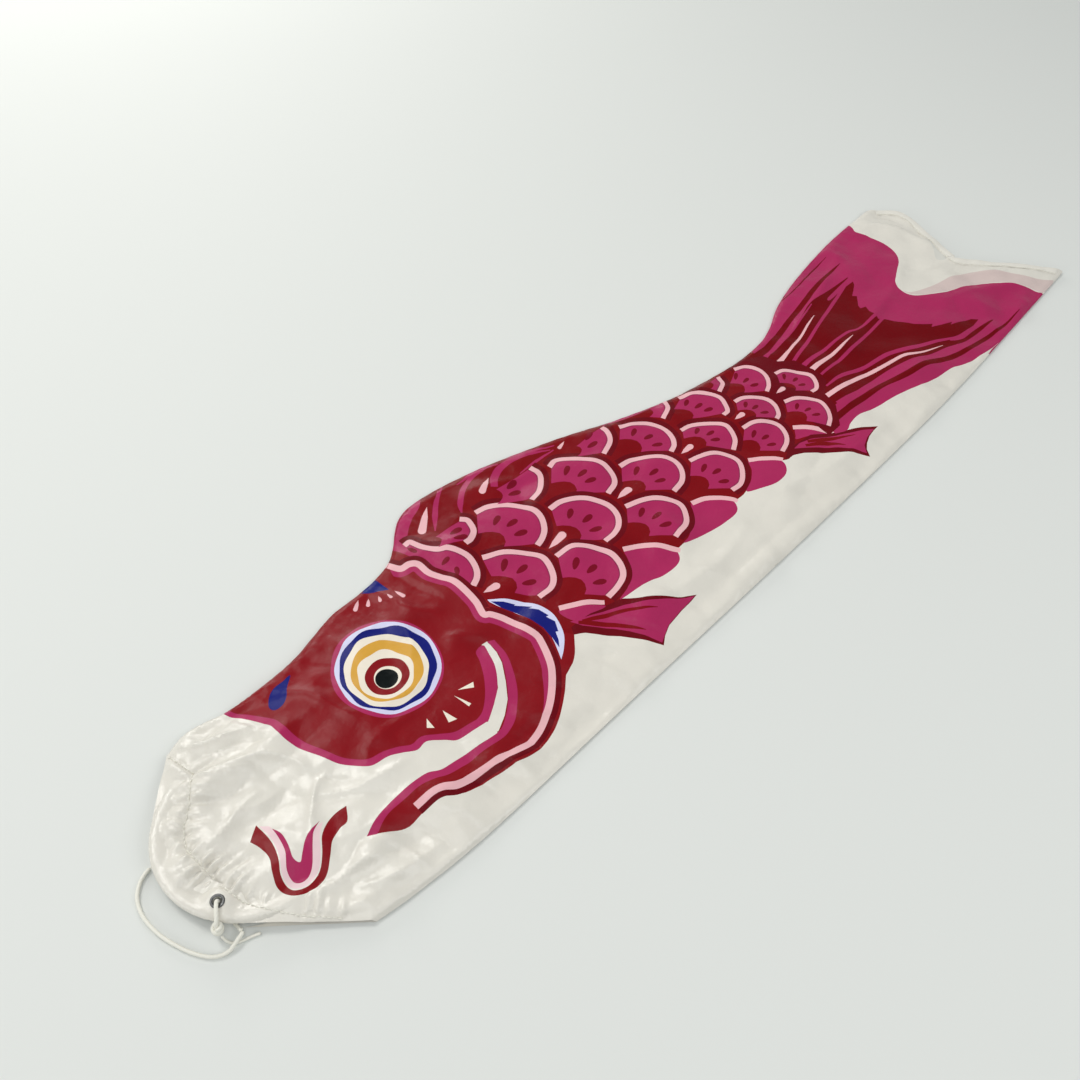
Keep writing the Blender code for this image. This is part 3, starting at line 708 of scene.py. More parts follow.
TAIL_MAGENTA_RAYS = [
    ([(697, 114), (713, 117.5), (730, 121), (763, 129), (797, 137),
    (838, 146)], [3, 3.5, 3.5, 3, 3.5, 2.5]),
    ([(680, 140), (700, 138), (722, 139.5), (747, 143), (780, 150)], [3, 3, 3.5, 2.5, 1]),
    ([(706, 106), (730, 105), (755, 103.5), (773, 102), (785, 98),
    (812, 97.5)], [5, 4, 3, 3, 2.6, 3.5]),
    ([(708, 87), (730, 86.5), (747, 86.5), (780, 88), (813, 90)], [2.5, 3, 3.5, 3, 3]),
    ([(700, 75.5), (722, 73), (747, 64.5), (775, 58.5), (797, 47), (822, 36), (842, 25), (868, 21)],
     [2, 4, 4, 4.5, 5, 3.5, 2, 1]),
    ([(687, 54), (713, 49.5), (747, 46), (780, 38), (800, 28), (832, 19)], [6, 4.5, 4, 3.5, 3, 1]),
]
TAIL_PINK_RAYS = [
    ([(682, 128.5), (692, 124.5), (713, 127), (738, 131.5), (755, 136),
    (770, 139.5)], [2, 5.5, 3, 2.4, 2, 0.6]),
    ([(707.5, 97), (730, 95.5), (750, 95), (771, 96)], [5.5, 4, 3, 0.6]),
    ([(687, 67.5), (713, 63.5), (735, 59.5), (755, 53.5), (780, 48), (797, 37.5), (821, 28.5)],
     [5.5, 5, 4.5, 4, 3.5, 2.4, 0.6]),
]
LASHES = [((240.5, 193.5), (249, 199), 3.6), ((250.5, 189.5), (255.8, 195), 3.2),
          ((260.3, 185.5), (262.3, 190.5), 2.8), ((268, 180.5), (268.3, 187), 2.8), ((276.3, 175),
          (274.6, 185.5), 3.6)]
CHEEK = [[(210.5, 78), (215.8, 84), (214.5, 74)], [(224.7, 70), (228, 80), (230.8, 67.5)],
         [(241.7, 82.5), (246.4, 69), (243.6, 68.6)], [(247, 84), (260, 81), (257, 77)]]
SHOW_THROUGH = [(862, 99), (866, 92), (882, 84), (906, 76), (928, 66), (944, 48), (962, 22), (972, 6),
                (976, 0), (970, -4), (955, -6), (951, 12), (940, 32), (918, 52), (895, 64),
                (872, 78), (862, 90)]
# painted shade: a grey strip just inside the tail's edge along its notch
NOTCH_SHADE = [(922, 100), (934, 112), (942, 126), (952, 142), (950, 128), (938, 104), (934, 90),
                (926, 92)]
# the dark root of the tail, where its streaks start
TAIL_ROOT = [(652, 160), (690, 141), (694, 126), (706, 116), (708, 96), (706, 80), (690, 70),
             (684, 54), (668, 38), (652, 38)]
# the base of the first scale, which the gill covers
FIRST_SCALE_BASE = [(316, 150), (314, 172), (310, 190), (300, 203), (302, 212)]
SNOUT_SPOT = [(169, 182.5), (162, 182), (153, 181.5), (145.5, 178), (141.5, 173), (143, 168.5),
              (149.5, 167.5), (156, 170.5), (161, 176)]
BROW_SPOT = [(252, 206), (256, 200.5), (262, 196), (272.5, 189.5), (272, 197), (270, 206)]
# the eye's ovals, outermost first: colour, centre, radii, and how uneven they are
EYE = [
    (M_MAGENTA, 224, 136.7, 41.5, 43.5, 0.006, 7), (M_LAVENDER, 225, 136.5, 39, 40.7, 0.010, 8, 1),
    (M_NAVY, 224.5, 136.3, 36, 37, 0.018, 9, 2), (M_CREAM, 222.5, 135.5, 31, 32.8, 0.014, 9, 0.5),
    (M_GOLD, 222.6, 134.8, 26.8, 27.8, 0.012, 7, 1.2),
    (M_CREAM, 219.6, 132.8, 21.0, 22.0, 0.030, 6, 2.4),
    (M_CRIMSON, 219.3, 130.8, 16.8, 16.4, 0.008, 6), (M_CREAM, 218.8, 129.7, 10.4, 10.4),
    (M_BLACK, 217.5, 129.5, 8.6, 8.6),
]


# ---- print fields and painted shade, from the bottom layer to the top -------------------
def share(x, low, high):
    return min(1.0, max(0.0, (x - low) / (high - low)))


def print_regions():
    """Every printed field as (material, outline), from the bottom layer to the top; the painted shade
    along the tail's notch is one of them, and the body's and the tail's crimson are darkened with
    painted shade.
    """
    out = []

    def add(material, *outlines):
        out.extend((material, [Vector(p[:2]) for p in outline]) for outline in outlines)

    def add_bands(material, strokes):
        add(material, *(band(points, widths) for points, widths in strokes))

    def add_drops(drops):
        add(M_PINK, *(drop(*shape) for shape in drops))

    add(M_ROSE, smooth(SHOW_THROUGH))
    # painted shade along the tail's notch, not a print
    add(M_NOTCH_SHADE, ring(NOTCH_SHADE))
    # the body's crimson field, darkened with painted shade
    add(M_SHADED_BODY_CRIMSON, BODY_BASE)
    add(M_MAGENTA, ring(DORSAL_MAGENTA))
    add_bands(M_MAGENTA, DORSAL_STROKES)
    add_drops(DORSAL_DROPS)
    add(M_MAROON, PECTORAL)
    add(M_MAGENTA, PECTORAL_IN)
    add_bands(M_SHADED_BODY_CRIMSON, PECTORAL_STROKES)
    for field, rim in LOBES:
        add(M_MAGENTA, ring(field))
        add(M_PINK, band(rim, [4.6, 4.8, 4.8, 4.0]))
    add(M_MAROON, VENTRAL)
    add(M_MAGENTA, VENTRAL_IN)
    add_bands(M_SHADED_BODY_CRIMSON, VENTRAL_STROKES)
    add(M_MAGENTA, TAIL_FIELD)
    # the tail's crimson print, in crimson darkened with painted shade
    add(M_SHADED_TAIL_CRIMSON, TAIL_CRIMSON_FIELD)
    add_bands(M_SHADED_TAIL_CRIMSON, TAIL_CRIMSON_STROKES)
    add_bands(M_MAGENTA, TAIL_MAGENTA_RAYS)
    add_bands(M_PINK, TAIL_PINK_RAYS)
    add(M_MAROON, TAIL_ROOT)
    for scale in SCALES:
        add_scale(add, *scale)
    add_drops(JUNCTIONS)
    add_head(add)
    add_drops(LASHES)
    add(M_CREAM, *CHEEK)
    add(M_CRIMSON, MOUTH_RED)
    add(M_BLUSH, MOUTH_PINK)
    add(M_MAGENTA, MOUTH_MAGENTA)
    return out


def add_scale(add, arc, base, seeds):
    """A scale: dark edge and base, magenta field, pink arc with a plum line, and seeds.

    The first scale has no base of its own, because the gill covers it.
    """
    line = smooth(arc)
    start, middle, end = line[0], line[len(line) // 2], line[-1]
    thick = 5.0 - 1.2 * share(arc[0][0], 380, 680)
    hollow = Vector(base or (arc[-1][0] - 6, (arc[0][1] + arc[-1][1]) / 2))
    sign = 1 if normals(line)[len(line) // 2].dot(hollow - middle) > 0 else -1
    outer = shifted(line, -sign * 4.8)
    inner = shifted(line, sign * thick)
    # the scale's base, in the body's crimson darkened with painted shade
    add(M_SHADED_BODY_CRIMSON, outer + [end + (hollow - end) * 0.35, hollow, start + (hollow - start) * 0.35])
    add(M_MAROON, outer + line[::-1])
    if base:
        up = (start - end).normalized()
        back = (middle - hollow).normalized()
        size = (start - end).length / 64
        add(M_MAGENTA, inner + [hollow + (back * a + up * b) * size for a, b in NOTCH])
    else:
        add(M_MAGENTA, inner + FIRST_SCALE_BASE)
    add(M_PLUM, stripe(line, sign * (thick - 0.5), sign * (thick + 0.9)))
    add(M_PINK, line + inner[::-1])
    centre = hollow + (middle - hollow) * 0.05
    for x, y in seeds:
        angle = math.atan2(y - centre.y, x - centre.x) * (0.75 if base else -0.75)
        size = (1.0 if x > 340 else 0.8) * (1.0 - 0.35 * share(x, 400, 680))
        add(M_SEED, seed((x, y), angle, 12.0 * size, 5.4 * size))


def add_head(add):
    """The head with its gill, crescents and eye; the gill's feather lies under its arcs."""
    add(M_CRIMSON, HEAD)
    add(M_MAROON, stripe(HEAD_REAR, 7.0, 2.0))
    add(M_LAVENDER, FEATHER_BLUE)
    add(M_NAVY, FEATHER_NAVY)
    gill = [p for i, p in enumerate(HEAD_REAR) if p.x > 256 or i < 60]
    taper = [7.4 * min(1.0, i / 4, (len(gill) - 1 - i) / 22) for i in range(len(gill))]
    inner = [p - n * w for p, n, w in zip(gill, normals(gill), taper)]
    add(M_MAGENTA, inner + shifted(gill, 1)[::-1])
    add(M_PINK, stripe(HEAD_REAR, -2.8, 2.7))
    add(M_WHITE, CRESCENT_WHITE)
    add(M_MAGENTA, SNOUT_BORDER, CRESCENT_MAGENTA_IN, CRESCENT_MAGENTA_OUT, JAW_MAGENTA)
    add(M_NAVY, ring(SNOUT_SPOT))
    for material, *shape in EYE:
        add(material, oval(*shape))
    add(M_NAVY, BROW_SPOT)


# ---- plan mesh --------------------------------------------------------------------------
def inside(points, outline):
    """For each point, whether it lies in the outline, by counting crossings."""
    x, y = points.T
    poly = np.array([(p[0], p[1]) for p in outline])
    result = np.zeros(len(points), bool)
    low, high = poly.min(0), poly.max(0)
    near = np.nonzero((x >= low[0]) & (x <= high[0]) & (y >= low[1]) & (y <= high[1]))[0]
    px, py = x[near], y[near]
    hit = np.zeros(len(near), bool)
    for (x0, y0), (x1, y1) in zip(poly, np.roll(poly, -1, 0)):
        if y0 != y1:
            cross = (y0 > py) != (y1 > py)
            hit ^= cross & (px < (x1 - x0) * (py - y0) / (y1 - y0) + x0)
    result[near] = hit
    return result


def painted(points, regions):
    """The material of the topmost printed field at each point."""
    colours = np.zeros(len(points), int)
    for material, outline in regions:
        colours[inside(points, outline)] = material
    return colours


def resampled(points, step, closed=True):
    """The outline with long spans divided, and points closer than a little dropped."""
    out = []
    count = len(points)
    for i in range(count if closed else count - 1):
        a, b = Vector(points[i][:2]), Vector(points[(i + 1) % count][:2])
        parts = max(1, int((b - a).length / step))
        for k in range(parts):
            p = a + (b - a) * k / parts
            if not out or (p - out[-1]).length > 0.35:
                out.append(p)
    if not closed:
        out.append(Vector(points[-1][:2]))
    return out


def grid_points(border):
    """Jittered triangular grid over the cloth, with finer points at the mouth and its stitches."""
    row_step = GRID * 0.866
    grid = np.array([(5 + (i + 0.5 * (j % 2)) * GRID, -20 + j * row_step)
                     for j in range(int(280 / row_step)) for i in range(int(1010 / GRID))])
    rng = np.random.default_rng(7)
    grid = grid + rng.uniform(-0.18, 0.18, (len(grid), 2)) * GRID
    for step, reach, low, size in ((GRID * 0.6, 400.0, (5, -20), (171, 220)),
                                   (GRID * 0.4, 13.0, (20, 5), (75, 165))):
        count = np.arange(int(size[0] * size[1] / step**2))
        # a sequence that fills the box evenly
        more = np.array(low) + np.column_stack([count * 0.754878 % 1 * size[0],
                                                count * 0.569840 % 1 * size[1]])
        grid = np.vstack([grid, more[segment_distance(more, STITCH)[0] < reach]])
    return grid[inside(grid, border)]


def plan_mesh(regions):
    """The whole side cloth as triangles in the plan, cut along every edge of the print."""
    verts, edges = [], []

    def add_line(points, closed):
        first = len(verts)
        verts.extend(points)
        last = len(verts) - 1
        edges.extend((i, i + 1) for i in range(first, last))
        if closed:
            edges.append((last, first))

    border = resampled(OUTLINE, CURVE_STEP)
    add_line(border, True)
    add_line([on_rim(RIM, TURN * i / 120 + 0.01) for i in range(120)], True)
    add_line(resampled([(SPLIT_X, -30), (SPLIT_X, 260)], CURVE_STEP, False), False)
    for _, outline in regions:
        add_line(resampled(outline, CURVE_STEP * 1.6), True)
    verts.extend(Vector(p) for p in grid_points(border))
    found = delaunay_2d_cdt(verts, edges, [], 0, 1e-4)
    points = np.array([(p.x, p.y) for p in found[0]])
    faces = np.array([f for f in found[2] if len(f) == 3])
    faces = faces[inside(points[faces].mean(1), border)]
    a, b, c = (points[faces[:, k]] for k in range(3))
    area = np.cross(b - a, c - a) / 2
    faces[area < 0] = faces[area < 0][:, ::-1]
    kept = np.abs(area) > 1e-6
    faces, area = faces[kept], np.abs(area[kept])
    middles = points[faces].mean(1)
    return points, faces, middles, area, painted(middles, regions)


# ---- height of the cloth ----------------------------------------------------------------
def segment_distance(points, line):
    """Distance from each point to a line of points, and how far along the line it is."""
    best = np.full(len(points), 1e9)
    along = np.zeros(len(points))
    run = 0.0
    for a, b in zip(line, line[1:]):
        start = np.array(a[:2])
        way = np.array(b[:2]) - start
        length = float(np.hypot(*way)) or 1e-9
        t = np.clip(((points - start) @ way) / length**2, 0, 1)
        away = np.hypot(*(points - (start + t[:, None] * way)).T)
        closer = away < best
        best[closer] = away[closer]
        along[closer] = run + t[closer] * length
        run += length
    return best, along


def distance_to(points, centre):
    return np.hypot(points[:, 0] - centre[0], points[:, 1] - centre[1])


def ease(t):
    t = np.clip(t, 0, 1)
    return t * t * (3 - 2 * t)


def bell(distance, width):
    return np.exp(-((distance / width) ** 2))


def wave(along, pitch, shift=0.0):
    return np.sin(along * TURN / pitch + shift)


def fractal(points, scale, seed_at, octaves=3):
    """Smooth noise at each point, between about -1 and 1."""
    out = np.zeros(len(points))
    for i, (x, y) in enumerate(points):
        total, size, freq = 0.0, 1.0, 1.0 / scale
        for _ in range(octaves):
            total += size * noise.noise(Vector((x * freq, y * freq, seed_at)))
            size *= 0.5
            freq *= 2.1
        out[i] = total
    return out


def ridge(points, line, height, width):
    """A soft crease or fold along a line, that fades at both ends."""
    curve = smooth(line, 5)
    away, along = segment_distance(points, curve)
    total = sum((b - a).length for a, b in zip(curve, curve[1:]))
    fade = np.sin(np.pi * np.clip(along / total, 0.0, 1.0)) ** 0.6
    return height * fade * np.exp(-1.5 * (np.sqrt((away / width) ** 2 + 0.02) - 0.14))


# long sharp pleats that cross the cloth: direction in degrees, spacing, height, start
PLEATS = [(18, 74, 0.95, 0.1), (71, 58, 0.80, 0.6), (118, 91, 1.05, 0.35), (152, 47, 0.62, 0.8),
          (96, 39, 0.45, 0.2), (41, 33, 0.42, 0.5)]


def crumple(points):
    """Flat facets between soft-edged creases, as stiff satin keeps after it was folded."""
    x, y = points.T
    total = np.zeros(len(points))
    for k, (angle, spacing, rise, start) in enumerate(PLEATS):
        way = math.radians(angle)
        bend_by = 0.55 * fractal(points, 120.0, 20.0 + k * 3.7, 2)
        turn = (x * math.cos(way) + y * math.sin(way)) / spacing + bend_by + start
        fold = 2 * np.abs(2 * (turn - np.floor(turn + 0.5))) - 1
        fold = np.sign(fold) * (1 - np.sqrt((1 - np.abs(fold)) ** 2 + 0.004))
        shown = ease(0.5 + 1.5 * fractal(points, 85.0, 50.0 + k * 5.1, 2))
        total = total + rise * fold * shown
    return total


# creases placed one by one: the line, the height and the width
CREASES = [
    # around the hoop and over the throat
    ([(60, 186), (71, 161), (86, 147), (104, 139)], 2.4, 6.5),
    ([(70, 158), (92, 150), (112, 141), (126, 122), (128, 104)], 1.8, 6.0),
    ([(54, 148), (66, 138), (82, 132), (100, 134)], -1.3, 6.0),
    ([(40, 112), (56, 112), (74, 118), (96, 121)], 1.2, 5.5),
    ([(44, 88), (60, 88), (68, 80)], -1.0, 5.0),
    ([(60, 44), (84, 34), (112, 30), (130, 18)], 1.7, 6.5),
    ([(102, 36), (124, 42), (150, 22)], -1.4, 6.0),
    ([(96, 22), (122, 8), (160, 4)], 1.4, 6.0),
    ([(120, 88), (138, 76), (152, 70), (184, 64)], 1.6, 6.0),
    ([(126, 112), (136, 90), (150, 78)], -1.2, 6.0),
    ([(112, 180), (120, 164), (126, 150)], 1.5, 5.0),
    ([(74, 196), (80, 184), (92, 176), (108, 170), (122, 164)], 2.2, 5.5),
    ([(72, 172), (88, 165), (106, 160), (124, 146)], -1.6, 4.5),
    ([(98, 66), (112, 84), (126, 96), (140, 98)], 1.5, 5.0),
    ([(70, 120), (88, 112), (110, 112)], 1.0, 6.0),
    # head
    ([(150, 176), (166, 158), (172, 136), (180, 112)], 1.8, 7.0),
    ([(176, 160), (184, 148), (196, 138)], -1.1, 5.0),
    ([(196, 166), (206, 172), (240, 168), (262, 160)], 1.2, 5.0),
    ([(250, 162), (254, 148), (246, 132), (236, 124)], 1.6, 4.5),
    ([(236, 156), (246, 142), (250, 132)], -1.3, 4.0),
    ([(198, 118), (206, 108), (226, 104), (244, 110)], 1.2, 5.0),
    ([(262, 196), (266, 176), (270, 158), (286, 140)], 1.9, 7.0),
    ([(284, 196), (286, 172), (294, 150)], -1.5, 6.0),
    ([(268, 122), (284, 110), (300, 92)], 1.3, 6.0),
    ([(160, 84), (172, 92), (200, 92), (226, 88)], 1.2, 6.0),
    ([(170, 34), (206, 24), (244, 8), (284, -4)], 1.6, 6.0),
    ([(206, 4), (246, 22), (300, 14)], -1.2, 6.0),
    # pleats that the belly seam gathers, across the white cloth beside it
    ([(132, 36), (138, 16), (140, -6)], 1.2, 4.5),
    ([(150, 30), (158, 12), (160, -8)], -1.0, 4.0),
    ([(172, 26), (184, 10), (186, -9)], 1.3, 4.5),
    ([(196, 30), (206, 12), (206, -10)], -1.1, 4.0),
    ([(216, 34), (232, 14), (236, -9)], 1.3, 4.5),
    ([(240, 36), (252, 16), (254, -10)], -1.0, 4.0),
    ([(262, 40), (276, 18), (282, -9)], 1.2, 5.0),
    ([(292, 44), (304, 18), (306, -10)], -1.0, 4.5),
    ([(322, 42), (334, 20), (340, -9)], 1.1, 5.0),
    ([(372, 46), (388, 22), (396, -9)], 1.1, 5.5),
    ([(414, 50), (424, 24), (428, -10)], -0.9, 5.0),
    ([(446, 34), (460, 14), (470, -9)], 1.0, 5.5),
    # body
    ([(318, 206), (330, 190), (352, 178)], 1.2, 6.0),
    ([(336, 44), (352, 26), (372, 2)], 1.5, 6.5),
    ([(392, 40), (430, 24), (476, 18), (520, 26)], 1.8, 8.0),
    ([(400, 8), (450, 4), (520, 2), (600, -2)], -1.3, 7.0),
    ([(380, 220), (420, 196), (450, 186)], 1.2, 7.0),
    ([(440, 30), (470, 56), (476, 86)], 1.0, 7.0),
    ([(500, 200), (540, 160), (556, 130)], 1.0, 8.0),
    ([(540, 36), (590, 20), (640, 10), (700, 8)], 1.7, 8.0),
    ([(560, 8), (620, 26), (652, 30)], -1.2, 7.0),
    ([(620, 150), (650, 120), (690, 104)], 0.9, 7.0),
    # tail
    ([(684, 44), (730, 34), (790, 20), (850, -2)], 1.2, 7.0),
    ([(690, 130), (740, 140), (800, 154), (860, 174)], 1.6, 8.0),
    ([(700, 92), (760, 92), (830, 100), (900, 120)], 1.4, 9.0),
    ([(860, 60), (896, 50), (934, 26), (960, 12)], 1.5, 8.0),
    ([(908, 186), (926, 168), (934, 140), (930, 112)], 2.2, 7.0),
    ([(930, 190), (944, 174), (946, 150)], -1.8, 6.0),
    ([(880, 110), (904, 96), (926, 86)], 1.6, 6.0),
    ([(900, 76), (922, 62), (952, 36), (976, 10)], 2.0, 6.0),
]
STITCH = smooth([
    (70, 163), (62, 154), (55, 146), (48, 139.5), (42, 134), (37.5, 127), (35, 120), (35, 110),
    (35.5, 97), (36, 84), (38.5, 70), (43, 58), (50, 46), (59, 34), (69, 22), (80, 10)], 8)
HEM_CREASE = smooth([(66, 190), (68.5, 177), (71, 163), (78, 154), (86, 147)], 5)


def hoop_centre_height(x):
    return HOOP_HEIGHT - math.tan(HOOP_TILT) * (x - HOOP_CENTRE[0])


def base_level(x):
    """Height of the upper cloth away from its edges: over the hoop, then down to the body."""
    rim_x, throat_x = 8.0, 150.0
    hem_top = hoop_centre_height(rim_x) + HEM_RADIUS
    level = np.where(x < throat_x, hem_top - 1.2 * ease((x - rim_x) / (throat_x - rim_x)),
                     hem_top - 1.2 - 4.6 * ease((x - throat_x) / 110))
    return level - 1.3 * ease((x - 700) / 200)


def edge_rise(edge):
    """Share of the full height at a distance from the folded edge: a small fold, then a slope."""
    fold = np.clip(edge / 5.0, 0, 1)
    return 0.42 * np.sqrt(np.clip(1 - (1 - fold) ** 2, 0, 1)) + 0.58 * ease(edge / 48.0)


def raised(regions):
    """The printed fields, moved on the cloth where it stands above the surface.

    The fields' points are where they show on the surface from VIEWPOINT.
    """
    counts = [len(outline) for _, outline in regions]
    flat = np.array([(p.x, p.y) for _, outline in regions for p in outline])
    away, _ = segment_distance(flat, OUTLINE + OUTLINE[:1])
    height = base_level(flat[:, 0]) * edge_rise(away) * inside(flat, OUTLINE)
    moved = flat - (flat - np.array(VIEWPOINT[:2])) * (height / VIEWPOINT[2])[:, None]
    parts = np.split(moved, np.cumsum(counts)[:-1])
    return [(material, [Vector(p) for p in part]) for (material, _), part in zip(regions, parts)]


def folds_and_creases(points):
    """Broad ripples and creases, strongest on the white cloth near the mouth and the belly."""
    x, y = points.T
    calm = 0.75 + 1.35 * ease((175 - x) / 50) + 0.25 * ease((42 - y) / 24)
    ripples = 0.7 * fractal(points, 62.0, 3.3) + 0.35 * fractal(points, 21.0, 8.1, 2)
    height = calm * (ripples + 1.8 * crumple(points))
    deeper = 1.5 + 0.7 * ease((150 - x) / 40)
    for line, rise, width in CREASES:
        height = height + deeper * ridge(points, line, rise, width * 0.85)
    return height


def hem_gathers(points):
    """The tuck and the doubled cloth of the hem, and the gathers that its thread pulls in."""
    x, y = points.T
    away, along = segment_distance(points, STITCH)
    tight = 0.45 + 0.55 * bell(along - 78, 45)
    gather = 1.9 * wave(along, 9.3, 2.2 * np.sin(along / 13.0)) + 0.9 * wave(along, 5.9, 1.0)
    height = tight * gather * bell(away, 12 + 5 * np.sin(along / 11.0)) * ease(away / 3)
    height = height - (1.0 + tight) * bell(away, 3.0) + 1.5 * tight * bell(away - 9, 6)
    hem = STITCH + [on_rim(RIM + 6, a) for a in np.linspace(BELLY_TANGENT, BACK_TANGENT, 24)]
    height = height + 0.8 * inside(points, hem) * ease(away / 1.6)
    # tight little gathers where the thread is drawn up
    bunched = bell(along - 52, 22) + bell(along - 128, 16)
    small = wave(along, 4.6, 1.6 * np.sin(away / 3.0 + along / 7))
    height = height + 0.75 * bunched * small * bell(away, 8.0) * ease(away / 1.5)
    # the hem's end, tucked under at the back
    tuck_away, _ = segment_distance(points, HEM_CREASE)
    ahead = ease((72 - x) / 8) * ease((y - 140) / 16)
    return height + 2.4 * ahead * bell(tuck_away, 14) - 2.2 * bell(tuck_away, 2.2)


def puckers(away, along, pitch, start):
    """Small waves beside a seam, that its thread pulls in."""
    shift = 1.8 * np.sin(along / 23.0 + start)
    return 0.55 * wave(along, pitch, shift) * np.exp(-away / 13.0) * ease(away / 5)


def over_hoop(height, x, radius):
    """The height, kept above the hem all round and rounded down over the front of the hoop."""
    centre_z = hoop_centre_height(x)
    across = np.abs(radius - HOOP_RADIUS)
    touch = 0.33 * HEM_RADIUS
    drape = (centre_z + 0.5 + np.sqrt(HEM_RADIUS**2 - np.minimum(across, touch) ** 2)
             - 0.35 * np.maximum(across - touch, 0))
    height = np.maximum(height, drape)
    beyond = np.clip(radius - HOOP_RADIUS, 0, HEM_RADIUS)
    rim_z = centre_z + 0.35 + np.sqrt(HEM_RADIUS**2 - beyond**2)
    on_hoop = ease((radius - (HOOP_RADIUS - 8)) / 7) * ease((62 - x) / 22)
    return height * (1 - on_hoop) + rim_z * on_hoop


def upper_height(points):
    """Height of the upper side cloth over each plan point, in millimetres."""
    x = points[:, 0]
    radius = distance_to(points, HOOP_CENTRE)
    # the cloth sags a little inside the hoop
    level = base_level(x) - 1.9 * ease((HOOP_RADIUS - 3 - radius) / 34) * ease((118 - x) / 50)
    back, back_along = segment_distance(points, BACK)
    belly, belly_along = segment_distance(points, BELLY)
    corners = [segment_distance(points, [on_rim(RIM, angle), Vector(edge[0])])[0]
               for angle, edge in ((BACK_TANGENT, BACK_EDGE), (BELLY_TANGENT, BELLY_EDGE))]
    edge = np.minimum(np.minimum(back, belly), np.minimum(*corners) + 1.5)
    relief = (folds_and_creases(points) + hem_gathers(points)
              + puckers(back, back_along, 15.0, 0.3) + puckers(belly, belly_along, 18.0, 1.1))
    # round down to the fold at the edges
    height = EDGE_Z + (level - EDGE_Z) * edge_rise(edge) + relief * ease(edge / 9 + 0.1)
    height = over_hoop(height, x, radius)
    # the open tail lies loose
    loose = ease((26 - segment_distance(points, TAIL)[0]) / 26)
    height = height + loose * (1.8 * fractal(points, 30.0, 5.5, 2) + 0.6)
    return np.clip(height, LEAST_Z, MOST_Z)


def lower_height(points):
    """Height of the lower side cloth, which lies on the surface."""
    return LOWER_Z + 0.28 * np.clip(fractal(points, 40.0, 11.7), -1, 1)


def eyelet_seat(points, heights):
    """The upper cloth's height, brought up to the front eyelet's flange around it."""
    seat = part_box("eyelet_front")[1][2] / MM - 0.75
    share_of_seat = ease((15 - distance_to(points, FRONT_EYELET)) / 9.5)
    return heights + (seat - heights) * share_of_seat


# ---- cords ------------------------------------------------------------------------------
CORD_SIDES = 18
CORD_STRANDS = 3
LAY_PITCH = 9.0             # length of cord in which a strand goes once round


def twisted_cord(name, route, radius, *nodes, body="head", per_mm=0.55, radii=None):
    """A laid cord: a tube whose section has one bump for each strand, turning along it.

    radii are spread evenly along it, where it isn't the same all over.
    """
    line = smooth(route, 8)
    spaced = [line[0]]
    for p in line[1:]:
        if (p - spaced[-1]).length >= per_mm:
            spaced.append(p)
    if (line[-1] - spaced[-1]).length > 0.05:
        spaced.append(line[-1])
    shape = bmesh.new()
    rings = []
    side = (spaced[1] - spaced[0]).normalized().orthogonal().normalized()
    run = 0.0
    for i, p in enumerate(spaced):
        ahead = (spaced[min(i + 1, len(spaced) - 1)] - spaced[max(i - 1, 0)]).normalized()
        side = (side - ahead * side.dot(ahead)).normalized()
        up = ahead.cross(side)
        if i:
            run += (p - spaced[i - 1]).length
        size = spread(radii or [radius, radius], i / (len(spaced) - 1))
        rings.append([])
        for t in (TURN * s / CORD_SIDES for s in range(CORD_SIDES)):
            bump = 1 - 0.16 * abs(math.sin(CORD_STRANDS * (t - TURN * run / LAY_PITCH) / 2)) ** 3
            q = p + (side * math.cos(t) + up * math.sin(t)) * size * bump
            rings[-1].append(shape.verts.new(place(*q)))
    join_rows(shape, rings)
    for loop, last, before in ((rings[0], spaced[0], spaced[1]),
                               (rings[-1], spaced[-1], spaced[-2])):
        tip = shape.verts.new(place(*(last + (last - before).normalized() * radius * 0.6)))
        for near, far in zip(loop, loop[1:] + loop[:1]):
            shape.faces.new((near, far, tip))
    thing = piece(name, shape, [CORD_LOOK], "cord", body, *nodes)
    length = sum((b - a).length for a, b in zip(spaced, spaced[1:])) * MM
    return thing, [place(*p) for p in spaced], length


def towards(a, b, distance):
    a, b = Vector(a), Vector(b)
    return tuple(a + (b - a).normalized() * distance)


REAR_EYELET = on_rim(HOOP_RADIUS + 14.0, math.radians(33))
RX, RY = REAR_EYELET


